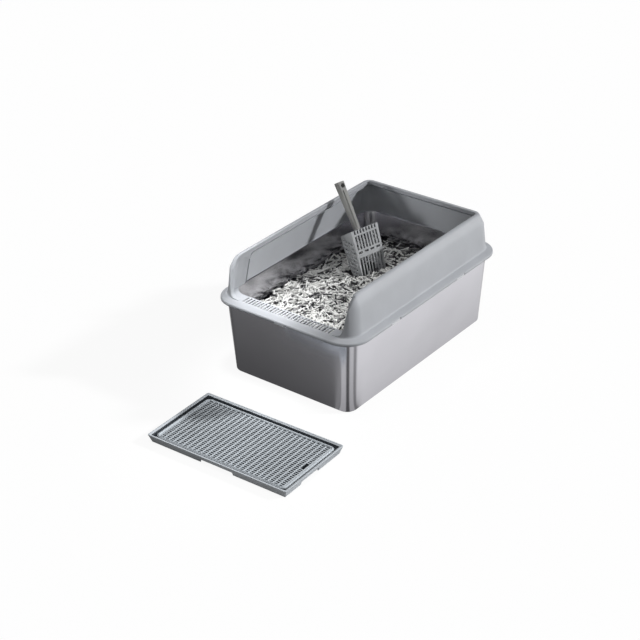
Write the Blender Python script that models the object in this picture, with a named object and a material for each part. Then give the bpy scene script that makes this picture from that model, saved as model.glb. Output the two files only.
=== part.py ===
"""Litter box set: steel tub, clip-on plastic enclosure, pellet litter, scoop and foot mat.

Metres. Z is up, Y points to the back and the entrance faces -Y. The origin is the middle of the tub's underside.
"""
import math

import bmesh
import bpy
from mathutils import Matrix, Vector

# Shared
GAP = 0.0003  # between touching pieces
OVERRUN = 0.004  # how far a cutter passes the faces that it cuts
CORNER_STEPS = 6  # segments in a corner of a rounded outline

# Outer edge of the enclosure's flange, which the tub and the wall are set in from
FLANGE = (0.2012, 0.300, 0.0594)  # half width, half length and corner radius

# Steel tub
TUB_TAPER_HEIGHT = 0.183
TUB_FOOT_IN = (0.0317, 0.0295)  # inset from the flange in width and length, taken down to the underside
TUB_FOOT_RADIUS = 0.026
TUB_HEAD_IN = (0.01995, 0.0189)  # the same at the taper height
TUB_HEAD_RADIUS = 0.031
TUB_WALL = 0.001
TUB_FOOT_ROUND = 0.004
TUB_ROUND_STEPS = 4
RIM_TOP = 0.1942
RIM_ROUND = 0.0025
RIM_REACH = 0.0042  # wall's outer face to the middle of the bead
BEAD_RADIUS = 0.002
BEAD_STEPS = 6
BEAD_START = 150  # where the bead leaves the rim's underside, in degrees
BEAD_SWEEP = 300
BEND_STEPS = 2

# Enclosure
SKIRT_BOTTOM = 0.1853
SKIRT_THICK = 0.0025
FLANGE_TOP = 0.193
FLANGE_ROUND = 0.004
SILL_TOP = 0.197
SHELF_THICK = 0.0025
SHELF_INNER_IN = (0.0197, 0.0199)
SHELF_INNER_RADIUS = 0.0389
SHELF_FALL_INSET = 0.0110  # flange edge to the flat shelf that carries the wall
SHELF_UNDER_INSET = 0.0092
SKIRT_HAUNCH = (0.0045, 0.1905)  # inset and height where the underside turns down
SKIRT_HAUNCH_FOOT = 0.1885
SILL_DEPTH = 0.047  # flange edge to the sill's inner edge
SILL_INNER_RADIUS = 0.045
WALL_LEVELS = (0.194, 0.2612, 0.2876)  # base, crease and top edge
WALL_INSETS = ((0.0170, 0.0170), (0.0231, 0.0231), (0.03495, 0.0401))  # from the flange, at each level
WALL_RADII = (0.0416, 0.038, 0.019)
WALL_THIN = 0.003
LIP = 0.010  # width of the lip along the top and the entrance
LIP_ROUND = 0.003
LIP_INNER_ROUND = 0.002
BAND = 0.0139  # height of the inner band above the recessed panel
WALL_FOOT = 0.1955  # sunk in the shelf
WALL_FLARE = 0.003
WALL_FLARE_SHARE = 0.25
WALL_FLARE_RISE = 0.006
LOW_EDGE = 0.012  # where the edge stands lower than this, its rounds shrink
BAND_LEAN_SHARE = 0.75
PANEL_FRONT_IN = 0.097  # flange's front edge to the recessed panel
PANEL_STEP = 0.0006
EDGE_FALL_SIDE = ((0.064, 0.2861), (0.072, 0.2872), (0.082, 0.2876))  # distance behind the flange's front edge
WALL_BACK_IN = 0.064
CREASE_SHARE = 0.7
LOW_BAND_SHARE = 0.4
BAND_LEDGE_FALL = 0.0004
# Angle round the front corner, from the side, against the height of the wall's edge
EDGE_FALL = ((0, 0.2850), (8, 0.2830), (20, 0.2806), (31, 0.2770), (41, 0.2705), (47, 0.2630), (53, 0.2510),
             (58, 0.2395), (65.6, 0.2180), (70, 0.2090), (76, 0.2030), (83, 0.1998))
TAIL_IN = 0.0702
TAIL_TOP = 0.1976
SLOT_LENGTH = 0.023
SLOT_WIDTH = 0.0045
SLOT_MIDDLE_IN = 0.0315
SLOT_PITCH = 0.0086
SLOT_COUNT = 29

# Latches in the skirt
LATCH_LENGTH = 0.029
LATCH_TOP = 0.1895
LATCH_THICK = 0.0023
LATCH_HOOK = 0.0115  # skirt's outer face to the hook's tip
LATCH_HOOK_THICK = 0.0017
NOTCH_DEPTH = 0.0062
NOTCH_HEAD = 0.0007
LATCH_SIDE_Y = (-0.139, 0.119)

# Litter
LITTER_GAP = 0.0005
LITTER_LEVEL = 0.131
LITTER_HEAP = 0.010
LITTER_HEAP_BASE_SHARE = 0.4
LITTER_HEAP_SPREAD = 0.16
LITTER_HEAP_AT = (-0.03, 0.01)
LITTER_MOUND = 0.015  # heaped round the scoop
LITTER_MOUND_AT = (-0.03, 0.095)
LITTER_MOUND_SPREAD = 0.05
LITTER_DIP = 0.007
LITTER_DIP_AT = (-0.17, 0.07)
LITTER_DIP_SPREAD = 0.05
LITTER_LUMP = 0.003  # lumps and hollows of the raked surface
LITTER_LUMP_PITCH = 0.046
LITTER_LUMP_SKEW = 0.4
LITTER_STEP = 0.0153  # about three facets to a lump
WELL_BACK = 0.009
WELL_SIDE = 0.0006
WELL_UNDER = 0.001
WELL_FRONT = 0.0008

# Scoop, in its own axes: x towards the plate's outer face, y across, z up, origin at the middle of the heel
SCOOP_AT = (-0.0624, 0.1025, 0.2466)
SCOOP_TURN = -12.36
SCOOP_THICK = 0.0022
SCOOP_FOLD = (0.019, -0.047)
SCOOP_TIP = (0.0455, -0.141)
SCOOP_TIP_BACK = (0.020, -0.139)
SCOOP_SIDE_BACK = (-0.017, -0.100)
SCOOP_HEEL_BACK = (-0.040, -0.026)
SCOOP_HALF_TOP = 0.0415
SCOOP_HALF_TIP = 0.0365
SCOOP_HALF_LOW = 0.0385  # widest part that stands in the litter
SCOOP_SLOTS = 8
SCOOP_SLOT_WIDTH = 0.0046
SCOOP_SLOT_SPAN_SHARE = 0.86
SCOOP_UPPER_SHARES = (0.17, 0.88)
SCOOP_LOWER_SHARES = (0.08, 0.86)
SCOOP_TOOTH_BACK = (-0.0045, -0.0029)  # the heel's teeth, cut through its corner
SCOOP_TOOTH_FRONT = (0.0022, -0.0050)
HOLLOW_PAST_SHARE = 0.2
HANDLE_LENGTH = 0.118
HANDLE_HALF = (0.0042, 0.0098)
HANDLE_ROUND = 0.0035
HANDLE_FOOT_SHARE = 0.62  # place along the heel's back wall
HANDLE_HOLE_RADIUS = 0.0032
HANDLE_HOLE_DOWN = 0.009
HANDLE_END_ROUND = 0.003
END_SHARE = 0.6
SPIGOT_HALF = (0.0022, 0.006)
SPIGOT_LENGTH = 0.0032
HOLE_STEPS = 16

# Mat
MAT_AT = (0.0637, -0.5037, 0.0)
MAT_TURN = 1.6
TRAY_HALF = (0.187, 0.1035)
TRAY_RADIUS = 0.004
TRAY_HEIGHT = 0.019
TRAY_FLARE = 0.0066
TRAY_WALL = 0.0022
TRAY_FLOOR = 0.0106
TRAY_FLOOR_INSET = 0.0095
TRAY_PAN_INSET = 0.0165  # where the ledge that carries the grid ends
TRAY_PAN_FLOOR = 0.004
TRAY_PAN_DRAFT = 0.0005
TRAY_LONG_GAP = 0.088
TRAY_SHORT_GAP = 0.062
TRAY_SHORT_GAP_Y = -0.012
TRAY_GAP_HEAD = 0.0002
TRAY_RADIUS_SHARE = 0.5
MAT_CORNER = 20
GRID_THICK = 0.003
GRID_RADIUS = 0.012
GRID_EDGE = 0.0025  # space round the grid
GRID_BORDERS = (0.010, 0.006)
GRID_BEAD = 0.0016
GRID_BEAD_WIDTH = 0.003
GRID_BEAD_INSET = 0.002
BEAD_TURN_SHARE = 0.9
GRID_COLUMNS = 26
GRID_ROWS = 14
GRID_RIB = 0.0036
GRID_BAR = 0.0036
FINGER_LENGTH = 0.0195
FINGER_WIDTH = 0.0077
FINGER_IN = 0.0155  # grid's edge to the middle of the finger hole


def material(name, colour, metallic, roughness):
    """A plain material"""
    made = bpy.data.materials.new(name)
    made.use_nodes = True
    shader = made.node_tree.nodes["Principled BSDF"]
    shader.inputs["Base Color"].default_value = (*colour, 1.0)
    shader.inputs["Metallic"].default_value = metallic
    shader.inputs["Roughness"].default_value = roughness
    return made


def make(name, vertices, faces, surface=None):
    """An object from plain lists, with its normals turned out"""
    mesh = bpy.data.meshes.new(name)
    mesh.from_pydata([tuple(v) for v in vertices], [], faces)
    work = bmesh.new()
    work.from_mesh(mesh)
    bmesh.ops.recalc_face_normals(work, faces=work.faces)
    work.to_mesh(mesh)
    work.free()
    made = bpy.data.objects.new(name, mesh)
    bpy.context.collection.objects.link(made)
    if surface:
        mesh.materials.append(surface)
    return made


def outline(half_x, front, back, front_radius, back_radius, z):
    """Rounded rectangle at one height, counter-clockwise from the back right corner"""
    points = []
    for quarter in range(4):
        at_right = quarter in (0, 3)
        at_back = quarter in (0, 1)
        radius = back_radius if at_back else front_radius
        middle_x = (half_x - radius) * (1 if at_right else -1)
        middle_y = back - radius if at_back else front + radius
        for step in range(CORNER_STEPS + 1):
            angle = math.radians(90 * (quarter + step / CORNER_STEPS))
            points.append(Vector((middle_x + radius * math.cos(angle), middle_y + radius * math.sin(angle), z)))
    return points


def even_outline(half_x, half_y, radius, z):
    """Rounded rectangle about the middle"""
    return outline(half_x, -half_y, half_y, radius, radius, z)


def loft(name, rings, surface=None, loop=False):
    """Skin over rings of equal count, capped at its ends, or joined end to end"""
    count = len(rings[0])
    vertices = [point for ring in rings for point in ring]
    faces = []
    last = len(rings) if loop else len(rings) - 1
    for row in range(last):
        below = row * count
        above = (row + 1) % len(rings) * count
        for k in range(count):
            after = (k + 1) % count
            faces.append((below + k, below + after, above + after, above + k))
    if not loop:
        faces.append(tuple(range(count)))
        faces.append(tuple(range((len(rings) - 1) * count, len(rings) * count)))
    return make(name, vertices, faces, surface)


def box(name, low, high):
    """A plain box between two corners"""
    xs, ys, zs = zip(low, high)
    rings = [[Vector((xs[i], ys[j], z)) for i, j in ((0, 0), (1, 0), (1, 1), (0, 1))] for z in zs]
    return loft(name, rings)


def prism(name, polygon, half_widths):
    """A side-view polygon of (x, z) points stood across y, each point with its own half width"""
    left = [Vector((x, -half, z)) for (x, z), half in zip(polygon, half_widths)]
    right = [Vector((x, half, z)) for (x, z), half in zip(polygon, half_widths)]
    return loft(name, [left, right])


def combine(target, tools, operation):
    """Boolean with each tool in turn, applied, tools removed"""
    for tool in tools:
        step = target.modifiers.new("combine", "BOOLEAN")
        step.operation = operation
        step.solver = "EXACT"
        step.object = tool
        tool.hide_render = True
        tool.display_type = "WIRE"
    apply_modifiers(target)
    for tool in tools:
        bpy.data.objects.remove(tool)
    return target


def apply_modifiers(target):
    """Bake the modifiers into the mesh"""
    bpy.context.view_layer.update()
    graph = bpy.context.evaluated_depsgraph_get()
    baked = bpy.data.meshes.new_from_object(target.evaluated_get(graph))
    target.modifiers.clear()
    target.data = baked


def join_meshes(name, pieces):
    """One object from several that don't touch, used as one cutter"""
    work = bmesh.new()
    for piece in pieces:
        work.from_mesh(piece.data)
    mesh = bpy.data.meshes.new(name)
    work.to_mesh(mesh)
    work.free()
    for piece in pieces:
        bpy.data.objects.remove(piece)
    made = bpy.data.objects.new(name, mesh)
    bpy.context.collection.objects.link(made)
    return made


def place(target, at, turn):
    """Turn about Z and move, in the mesh itself"""
    target.data.transform(Matrix.Translation(at) @ Matrix.Rotation(math.radians(turn), 4, "Z"))
    return target


def smooth(target, limit=35):
    """Round faces shade smooth, corners stay crisp"""
    for face in target.data.polygons:
        face.use_smooth = True
    target.data.set_sharp_from_angle(angle=math.radians(limit))
    return target


def quarter_round(radius, steps):
    """Inset and rise of points along a quarter round, from its foot to its side"""
    pairs = []
    for step in range(steps + 1):
        angle = math.radians(90 * step / steps)
        pairs.append((radius * (1 - math.sin(angle)), radius * (1 - math.cos(angle))))
    return pairs


def tub_ring(z, inset):
    """The tub's outer outline at a height, moved in by the inset"""
    share = z / TUB_TAPER_HEIGHT
    in_x, in_y = (foot + (head - foot) * share for foot, head in zip(TUB_FOOT_IN, TUB_HEAD_IN))
    radius = TUB_FOOT_RADIUS + (TUB_HEAD_RADIUS - TUB_FOOT_RADIUS) * share
    return even_outline(FLANGE[0] - in_x - inset, FLANGE[1] - in_y - inset, radius - inset, z)


def steel_tub(surface):
    """Thin shell with a round foot and a beaded rim"""
    rings = [tub_ring(rise, inset) for inset, rise in quarter_round(TUB_FOOT_ROUND, TUB_ROUND_STEPS)]
    bend_z = RIM_TOP - TUB_WALL - RIM_ROUND
    for out, up in bend(RIM_ROUND, RIM_ROUND):
        rings.append(tub_ring(bend_z + up, -out))
    bead_z = RIM_TOP - BEAD_RADIUS
    for step in range(BEAD_STEPS + 1):
        angle = math.radians(BEAD_START + BEAD_SWEEP * step / BEAD_STEPS)
        rings.append(tub_ring(bead_z + BEAD_RADIUS * math.sin(angle), -RIM_REACH - BEAD_RADIUS * math.cos(angle)))
    for out, up in reversed(bend(RIM_ROUND + TUB_WALL, RIM_ROUND)):
        rings.append(tub_ring(bend_z + up, -out))
    for inset, rise in reversed(quarter_round(TUB_FOOT_ROUND - TUB_WALL, TUB_ROUND_STEPS)):
        rings.append(tub_ring(TUB_WALL + rise, TUB_WALL + inset))
    return smooth(loft("steel_tub", rings, surface))


def bend(radius, middle):
    """Outward and upward steps of a bend from upright to flat about a middle line"""
    pairs = []
    for step in range(BEND_STEPS + 1):
        angle = math.radians(90 * step / BEND_STEPS)
        pairs.append((middle - radius * math.cos(angle), radius * math.sin(angle)))
    return pairs


def flange_ring(inset, z):
    """The flange's outline moved in"""
    half_x, half_y, radius = FLANGE
    return even_outline(half_x - inset, half_y - inset, radius - inset, z)


def sill_ring(z):
    """The shelf's inner outline, with the sill reaching in at the front"""
    in_x, in_y = SHELF_INNER_IN
    half_x, half_y, radius = FLANGE
    return outline(half_x - in_x, SILL_DEPTH - half_y, half_y - in_y, SILL_INNER_RADIUS, SHELF_INNER_RADIUS, z)


def flange():
    """Skirt, flange top and the shelf that carries the wall and widens to the sill"""
    rings = [flange_ring(0, SKIRT_BOTTOM)]
    for inset, up in bend(FLANGE_ROUND, FLANGE_ROUND):
        rings.append(flange_ring(inset, FLANGE_TOP - FLANGE_ROUND + up))
    shelf_under = SILL_TOP - SHELF_THICK
    rings += [flange_ring(SHELF_FALL_INSET, SILL_TOP), sill_ring(SILL_TOP), sill_ring(shelf_under)]
    rings += [flange_ring(SHELF_UNDER_INSET, shelf_under), flange_ring(*SKIRT_HAUNCH)]
    rings += [flange_ring(SKIRT_THICK, SKIRT_HAUNCH_FOOT), flange_ring(SKIRT_THICK, SKIRT_BOTTOM)]
    return loft("enclosure", rings, loop=True)


def wall_size(z):
    """Half width, half length and corner radius of the wall's outside at a height"""
    outlines = [(FLANGE[0] - in_x, FLANGE[1] - in_y, radius) for (in_x, in_y), radius in zip(WALL_INSETS, WALL_RADII)]
    for low, high, below, above in zip(WALL_LEVELS, WALL_LEVELS[1:], outlines, outlines[1:]):
        if z <= high:
            break
    share = (z - low) / (high - low)
    return [first + (second - first) * share for first, second in zip(below, above)]


def wall_point(station, z, inset):
    """A point of the wall: station is its kind, its side of the box and its angle or place"""
    kind, side, value = station
    half_x, half_y, radius = (size - inset for size in wall_size(z))
    if kind == "front":
        return Vector((side * value, -half_y, z))
    if kind == "side":
        return Vector((side * half_x, value, z))
    angle = math.radians(value)
    along_x = half_x - radius + radius * math.cos(angle)
    along_y = half_y - radius + radius * math.sin(angle)
    return Vector((side * along_x, along_y if kind == "back turn" else -along_y, z))


def wall_stations():
    """Stations of one half, from the entrance to the back: (kind, value, edge height, recessed)"""
    full = WALL_LEVELS[-1]
    front = -FLANGE[1]
    panel_y = front + PANEL_FRONT_IN
    half = [("front", FLANGE[0] - TAIL_IN, TAIL_TOP, False)]
    half += [("front turn", angle, height, False) for angle, height in reversed(EDGE_FALL)]
    half += [("side", front + along, height, False) for along, height in EDGE_FALL_SIDE]
    half += [("side", panel_y, full, False), ("side", panel_y + PANEL_STEP, full, True)]
    half += [("side", FLANGE[1] - WALL_BACK_IN, full, True)]
    half += [("back turn", 90 * step / CORNER_STEPS, full, True) for step in range(CORNER_STEPS + 1)]
    return half


def wall_section(station, top, recessed):
    """Closed section of the wall, up its outside, over the lip and down its inside"""
    height = top - WALL_FOOT
    small = min(1, height / LOW_EDGE)
    crease = min(WALL_LEVELS[1], WALL_FOOT + height * CREASE_SHARE)
    round_out = LIP_ROUND * small
    round_in = LIP_INNER_ROUND * small
    band_z = max(top - BAND, WALL_FOOT + height * LOW_BAND_SHARE)
    lean = (wall_size(band_z)[0] - wall_size(top)[0]) * BAND_LEAN_SHARE
    panel = WALL_THIN if recessed else LIP + lean
    foot = WALL_THIN if recessed else LIP
    diagonal = 1 - math.sqrt(0.5)
    rows = [(-WALL_FLARE, WALL_FOOT), (-WALL_FLARE * WALL_FLARE_SHARE, WALL_FOOT + WALL_FLARE * small),
            (0, WALL_FOOT + WALL_FLARE_RISE * small * CREASE_SHARE), (0, crease), (0, top - round_out),
            (round_out * diagonal, top - round_out * diagonal), (round_out, top), (LIP - round_in, top),
            (LIP, top - round_in), (LIP + lean, band_z), (panel, band_z - BAND_LEDGE_FALL * small),
            (foot, WALL_FOOT)]
    return [wall_point(station, z, inset) for inset, z in rows]


def wall():
    """The splash wall, from one side of the entrance round the back to the other"""
    half = wall_stations()
    sections = [wall_section((kind, 1, value), top, recessed) for kind, value, top, recessed in half]
    sections += [wall_section((kind, -1, value), top, recessed) for kind, value, top, recessed in reversed(half)]
    return loft("wall", sections)


def slot_cutters():
    """Litter slots in the sill"""
    cutters = []
    first = -SLOT_PITCH * (SLOT_COUNT - 1) / 2
    middle = SLOT_MIDDLE_IN - FLANGE[1]
    for k in range(SLOT_COUNT):
        x = first + SLOT_PITCH * k
        low = (x - SLOT_WIDTH / 2, middle - SLOT_LENGTH / 2, SILL_TOP - SHELF_THICK - OVERRUN)
        high = (x + SLOT_WIDTH / 2, middle + SLOT_LENGTH / 2, SILL_TOP + OVERRUN)
        cutters.append(box("slot", low, high))
    return join_meshes("slots", cutters)


def latch_places():
    """Name, turn about Z, distance of the skirt from the middle and place along the skirt"""
    front_y, rear_y = LATCH_SIDE_Y
    return [("latch_right_front", 0, FLANGE[0], front_y), ("latch_right_rear", 0, FLANGE[0], rear_y),
            ("latch_left_front", 180, FLANGE[0], -front_y), ("latch_left_rear", 180, FLANGE[0], -rear_y),
            ("latch_front", -90, FLANGE[1], 0), ("latch_back", 90, FLANGE[1], 0)]


def notch_cutters():
    """Openings in the skirt for the latches"""
    cutters = []
    half = LATCH_LENGTH / 2 + GAP
    for name, turn, reach, along in latch_places():
        low = (reach - NOTCH_DEPTH, along - half, SKIRT_BOTTOM - OVERRUN)
        high = (reach + OVERRUN, along + half, LATCH_TOP + NOTCH_HEAD)
        cutters.append(place(box(name, low, high), (0, 0, 0), turn))
    return join_meshes("notches", cutters)


def enclosure(surface):
    """One moulding: flange, sill and wall"""
    body = flange()
    combine(body, [wall()], "UNION")
    combine(body, [slot_cutters(), notch_cutters()], "DIFFERENCE")
    body.data.materials.clear()
    body.data.materials.append(surface)
    return smooth(body)


def latches(surface):
    """Snap tongues with a hook that points in below the tub's bead"""
    for name, turn, reach, along in latch_places():
        inner = reach - LATCH_THICK
        tip = reach - LATCH_HOOK
        hook = LATCH_TOP - LATCH_HOOK_THICK
        side = [(reach, SKIRT_BOTTOM), (reach, LATCH_TOP), (tip, LATCH_TOP), (tip, hook), (inner, hook),
                (inner, SKIRT_BOTTOM)]
        tongue = prism(name, side, [LATCH_LENGTH / 2] * len(side))
        tongue.data.materials.append(surface)
        tongue.data.transform(Matrix.Translation((-reach, 0, -LATCH_TOP)))
        turned = Matrix.Rotation(math.radians(turn), 4, "Z")
        tongue.data.transform(turned)
        tongue.location = turned @ Vector((reach, along, LATCH_TOP))


def hump(x, y, at, spread):
    """Share of a round hump's height at a place"""
    return math.exp(-((x - at[0]) ** 2 + (y - at[1]) ** 2) / spread ** 2)


def litter_lump(x, y):
    """Lumps and hollows that raking leaves, in two crossing rows"""
    turn = math.tau / LITTER_LUMP_PITCH
    return LITTER_LUMP * math.sin(turn * (x + LITTER_LUMP_SKEW * y)) * math.cos(turn * (y - LITTER_LUMP_SKEW * x))


def litter_height(x, y):
    """Surface of the litter: a low heap, a mound round the scoop and a dip by the left wall"""
    heap = LITTER_HEAP * (hump(x, y, LITTER_HEAP_AT, LITTER_HEAP_SPREAD) - LITTER_HEAP_BASE_SHARE)
    mound = LITTER_MOUND * hump(x, y, LITTER_MOUND_AT, LITTER_MOUND_SPREAD)
    dip = LITTER_DIP * hump(x, y, LITTER_DIP_AT, LITTER_DIP_SPREAD)
    return LITTER_LEVEL + heap + mound - dip + litter_lump(x, y)


def raked_block():
    """A block wider than the tub with the litter's surface as its top"""
    columns, rows = (math.ceil(2 * half / LITTER_STEP) for half in FLANGE[:2])
    work = bmesh.new()
    bmesh.ops.create_grid(work, x_segments=columns, y_segments=rows, size=1)
    for vert in work.verts:
        vert.co = (vert.co.x * FLANGE[0], vert.co.y * FLANGE[1], 0)
    top = list(work.verts)
    made = bmesh.ops.extrude_face_region(work, geom=work.faces[:])["geom"]
    under = [item for item in made if isinstance(item, bmesh.types.BMVert)]
    for vert in top:
        vert.co.z = litter_height(vert.co.x, vert.co.y)
    bmesh.ops.translate(work, vec=(0, 0, -OVERRUN), verts=under)
    bmesh.ops.triangulate(work, faces=work.faces[:])
    bmesh.ops.recalc_face_normals(work, faces=work.faces)
    mesh = bpy.data.meshes.new("raked_block")
    work.to_mesh(mesh)
    work.free()
    made = bpy.data.objects.new("raked_block", mesh)
    bpy.context.collection.objects.link(made)
    return made


def litter_bed(surface):
    """The filling, with a well that the scoop stands in"""
    clear = TUB_WALL + LITTER_GAP
    rings = [tub_ring(clear + rise, clear + inset)
             for inset, rise in quarter_round(TUB_FOOT_ROUND - TUB_WALL, TUB_ROUND_STEPS)]
    bed = loft("litter_bed", rings + [tub_ring(TUB_TAPER_HEIGHT, clear)], surface)
    combine(bed, [raked_block()], "INTERSECT")
    low, high = ((SCOOP_SIDE_BACK[0] - WELL_BACK, -SCOOP_HALF_LOW - WELL_SIDE, SCOOP_TIP[1] - WELL_UNDER),
                 (SCOOP_TIP[0] + WELL_FRONT, SCOOP_HALF_LOW + WELL_SIDE, OVERRUN))
    well = place(box("well", low, high), SCOOP_AT, SCOOP_TURN)
    combine(bed, [well], "DIFFERENCE")
    return smooth(bed)


def scoop_half(z, inset=0):
    """Half width of the scoop's head at a height below its heel"""
    share = z / SCOOP_TIP[1]
    return SCOOP_HALF_TOP + (SCOOP_HALF_TIP - SCOOP_HALF_TOP) * share - inset


def shifted_line(start, end, inset):
    """A side-view line moved to its right"""
    start, end = Vector(start), Vector(end)
    along = (end - start).normalized()
    normal = Vector((along.y, -along.x))
    return start + normal * inset, end + normal * inset


def crossing(first, second):
    """Where two side-view lines meet"""
    (a, b), (c, d) = first, second
    u, v = b - a, d - c
    along = ((c.x - a.x) * v.y - (c.y - a.y) * v.x) / (u.x * v.y - u.y * v.x)
    return a + u * along


def scoop_hollow():
    """What is taken out of the head so that plate, sides and heel wall stay"""
    back = shifted_line(SCOOP_HEEL_BACK, (0, 0), SCOOP_THICK)
    upper = shifted_line((0, 0), SCOOP_FOLD, SCOOP_THICK)
    lower = shifted_line(SCOOP_FOLD, SCOOP_TIP, SCOOP_THICK)
    heel = crossing(back, upper)
    fold = crossing(upper, lower)
    tip = lower[1] + (lower[1] - lower[0]) * HOLLOW_PAST_SHARE
    far_top = back[0] + (back[0] - back[1])
    far_low = Vector((far_top.x, tip.y))
    corners = [heel, fold, tip, far_low, far_top]
    return prism("hollow", [tuple(c) for c in corners], [scoop_half(c.y, SCOOP_THICK) for c in corners])


def plate_slots(start, end, shares):
    """A row of slots through a plate that runs between two side-view points"""
    start, end = Vector(start), Vector(end)
    along = end - start
    normal = Vector((-along.y, along.x)).normalized()
    low, high = (start + along * share for share in shares)
    side = [low + normal * OVERRUN, high + normal * OVERRUN, high - normal * OVERRUN, low - normal * OVERRUN]
    cutters = []
    for k in range(SCOOP_SLOTS):
        cutter = prism("slot", [tuple(c) for c in side], [SCOOP_SLOT_WIDTH / 2] * len(side))
        pitch = 2 * SCOOP_HALF_TIP * SCOOP_SLOT_SPAN_SHARE / (SCOOP_SLOTS - 1)
        cutter.data.transform(Matrix.Translation((0, pitch * (k - (SCOOP_SLOTS - 1) / 2), 0)))
        cutters.append(cutter)
    return cutters


def handle_frame():
    """Foot of the handle on the heel's back wall, and axes with the handle along z"""
    back = Vector(SCOOP_HEEL_BACK)
    along = -back.normalized()
    out = Vector((-along.y, along.x))
    foot = back * HANDLE_FOOT_SHARE + out * GAP
    rows = ((along.x, 0, out.x, foot.x), (0, 1, 0, 0), (along.y, 0, out.y, foot.y), (0, 0, 0, 1))
    return Matrix(rows)


def spigot(grow):
    """The handle's tongue, or the cutter for its socket"""
    thick, wide = SPIGOT_HALF
    deep = SPIGOT_LENGTH + (OVERRUN if grow else 0)
    return box("spigot", (-thick - grow, -wide - grow, -deep), (thick + grow, wide + grow, OVERRUN))


def scoop_head(surface):
    """Deep slotted pan"""
    side = [(0, 0), SCOOP_FOLD, SCOOP_TIP, SCOOP_TIP_BACK, SCOOP_SIDE_BACK, SCOOP_HEEL_BACK]
    head = prism("scoop_head", side, [scoop_half(z) for x, z in side])
    combine(head, [scoop_hollow()], "DIFFERENCE")
    cutters = plate_slots((0, 0), SCOOP_FOLD, SCOOP_UPPER_SHARES) + plate_slots(SCOOP_FOLD, SCOOP_TIP, SCOOP_LOWER_SHARES)
    cutters += plate_slots(SCOOP_TOOTH_BACK, SCOOP_TOOTH_FRONT, (0, 1))
    combine(head, [join_meshes("slots", cutters)], "DIFFERENCE")
    socket = spigot(GAP)
    socket.data.transform(handle_frame())
    combine(head, [socket], "DIFFERENCE")
    head.data.materials.clear()
    head.data.materials.append(surface)
    return place(head, SCOOP_AT, SCOOP_TURN)


def scoop_handle(surface):
    """Rounded bar with a hanging hole near its end and a tongue at its foot"""
    thick, wide = HANDLE_HALF
    rings = []
    for inset, z in ((0, 0), (0, HANDLE_LENGTH - HANDLE_END_ROUND), (HANDLE_END_ROUND * END_SHARE, HANDLE_LENGTH)):
        rings.append(outline(thick - inset, inset - wide, wide - inset, HANDLE_ROUND - inset, HANDLE_ROUND - inset, z))
    bar = loft("scoop_handle", rings, surface)
    hole = []
    for x in (-thick - OVERRUN, thick + OVERRUN):
        ring = []
        for k in range(HOLE_STEPS):
            angle = math.tau * k / HOLE_STEPS
            up = HANDLE_LENGTH - HANDLE_HOLE_DOWN + HANDLE_HOLE_RADIUS * math.sin(angle)
            ring.append(Vector((x, HANDLE_HOLE_RADIUS * math.cos(angle), up)))
        hole.append(ring)
    combine(bar, [spigot(0)], "UNION")
    combine(bar, [loft("hole", hole)], "DIFFERENCE")
    bar.data.transform(handle_frame())
    place(bar, SCOOP_AT, SCOOP_TURN)
    return smooth(bar)


def tray_ring(inset, z):
    """The mat tray's outline moved in"""
    half_x, half_y = TRAY_HALF
    radius = max(TRAY_RADIUS - inset * TRAY_RADIUS_SHARE, TRAY_RADIUS / 2)
    return even_outline(half_x - inset, half_y - inset, radius, z)


def mat_tray(surface):
    """Litter-catching tray with a flared rim, a ledge for the grid and a skirt raised in the middle of each side"""
    under = TRAY_FLOOR - TRAY_WALL
    skirt_in = TRAY_FLARE + TRAY_WALL
    pan_out = TRAY_PAN_INSET - TRAY_WALL
    rings = [tray_ring(pan_out + TRAY_PAN_DRAFT, TRAY_PAN_FLOOR - TRAY_WALL), tray_ring(pan_out, under),
             tray_ring(skirt_in, under), tray_ring(skirt_in, 0), tray_ring(TRAY_FLARE, 0),
             tray_ring(0, TRAY_HEIGHT), tray_ring(TRAY_WALL, TRAY_HEIGHT), tray_ring(TRAY_FLOOR_INSET, TRAY_FLOOR),
             tray_ring(TRAY_PAN_INSET, TRAY_FLOOR), tray_ring(TRAY_PAN_INSET + TRAY_PAN_DRAFT, TRAY_PAN_FLOOR)]
    tray = loft("mat_tray", rings, surface)
    half_x, half_y = TRAY_HALF
    long_gap, short_gap = TRAY_LONG_GAP / 2, TRAY_SHORT_GAP / 2
    reach = (skirt_in + pan_out) / 2
    high = under - TRAY_GAP_HEAD
    gaps = []
    for side in (-1, 1):
        outer, inner = side * (half_y + OVERRUN), side * (half_y - reach)
        gaps.append(box("gap", (-long_gap, min(outer, inner), -OVERRUN), (long_gap, max(outer, inner), high)))
        outer, inner = side * (half_x + OVERRUN), side * (half_x - reach)
        gaps.append(box("gap", (min(outer, inner), TRAY_SHORT_GAP_Y - short_gap, -OVERRUN),
                        (max(outer, inner), TRAY_SHORT_GAP_Y + short_gap, high)))
    combine(tray, gaps, "DIFFERENCE")
    return smooth(place(tray, MAT_AT, MAT_TURN), MAT_CORNER)


def grid_lines(half, border, count, rib):
    """Cell edges across the grid: border, then openings with ribs between"""
    pitch = (2 * (half - border) + rib) / count
    edges = [-half]
    for k in range(count):
        start = border - half + pitch * k
        edges += [start, start + pitch - rib]
    return edges + [half]


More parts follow.
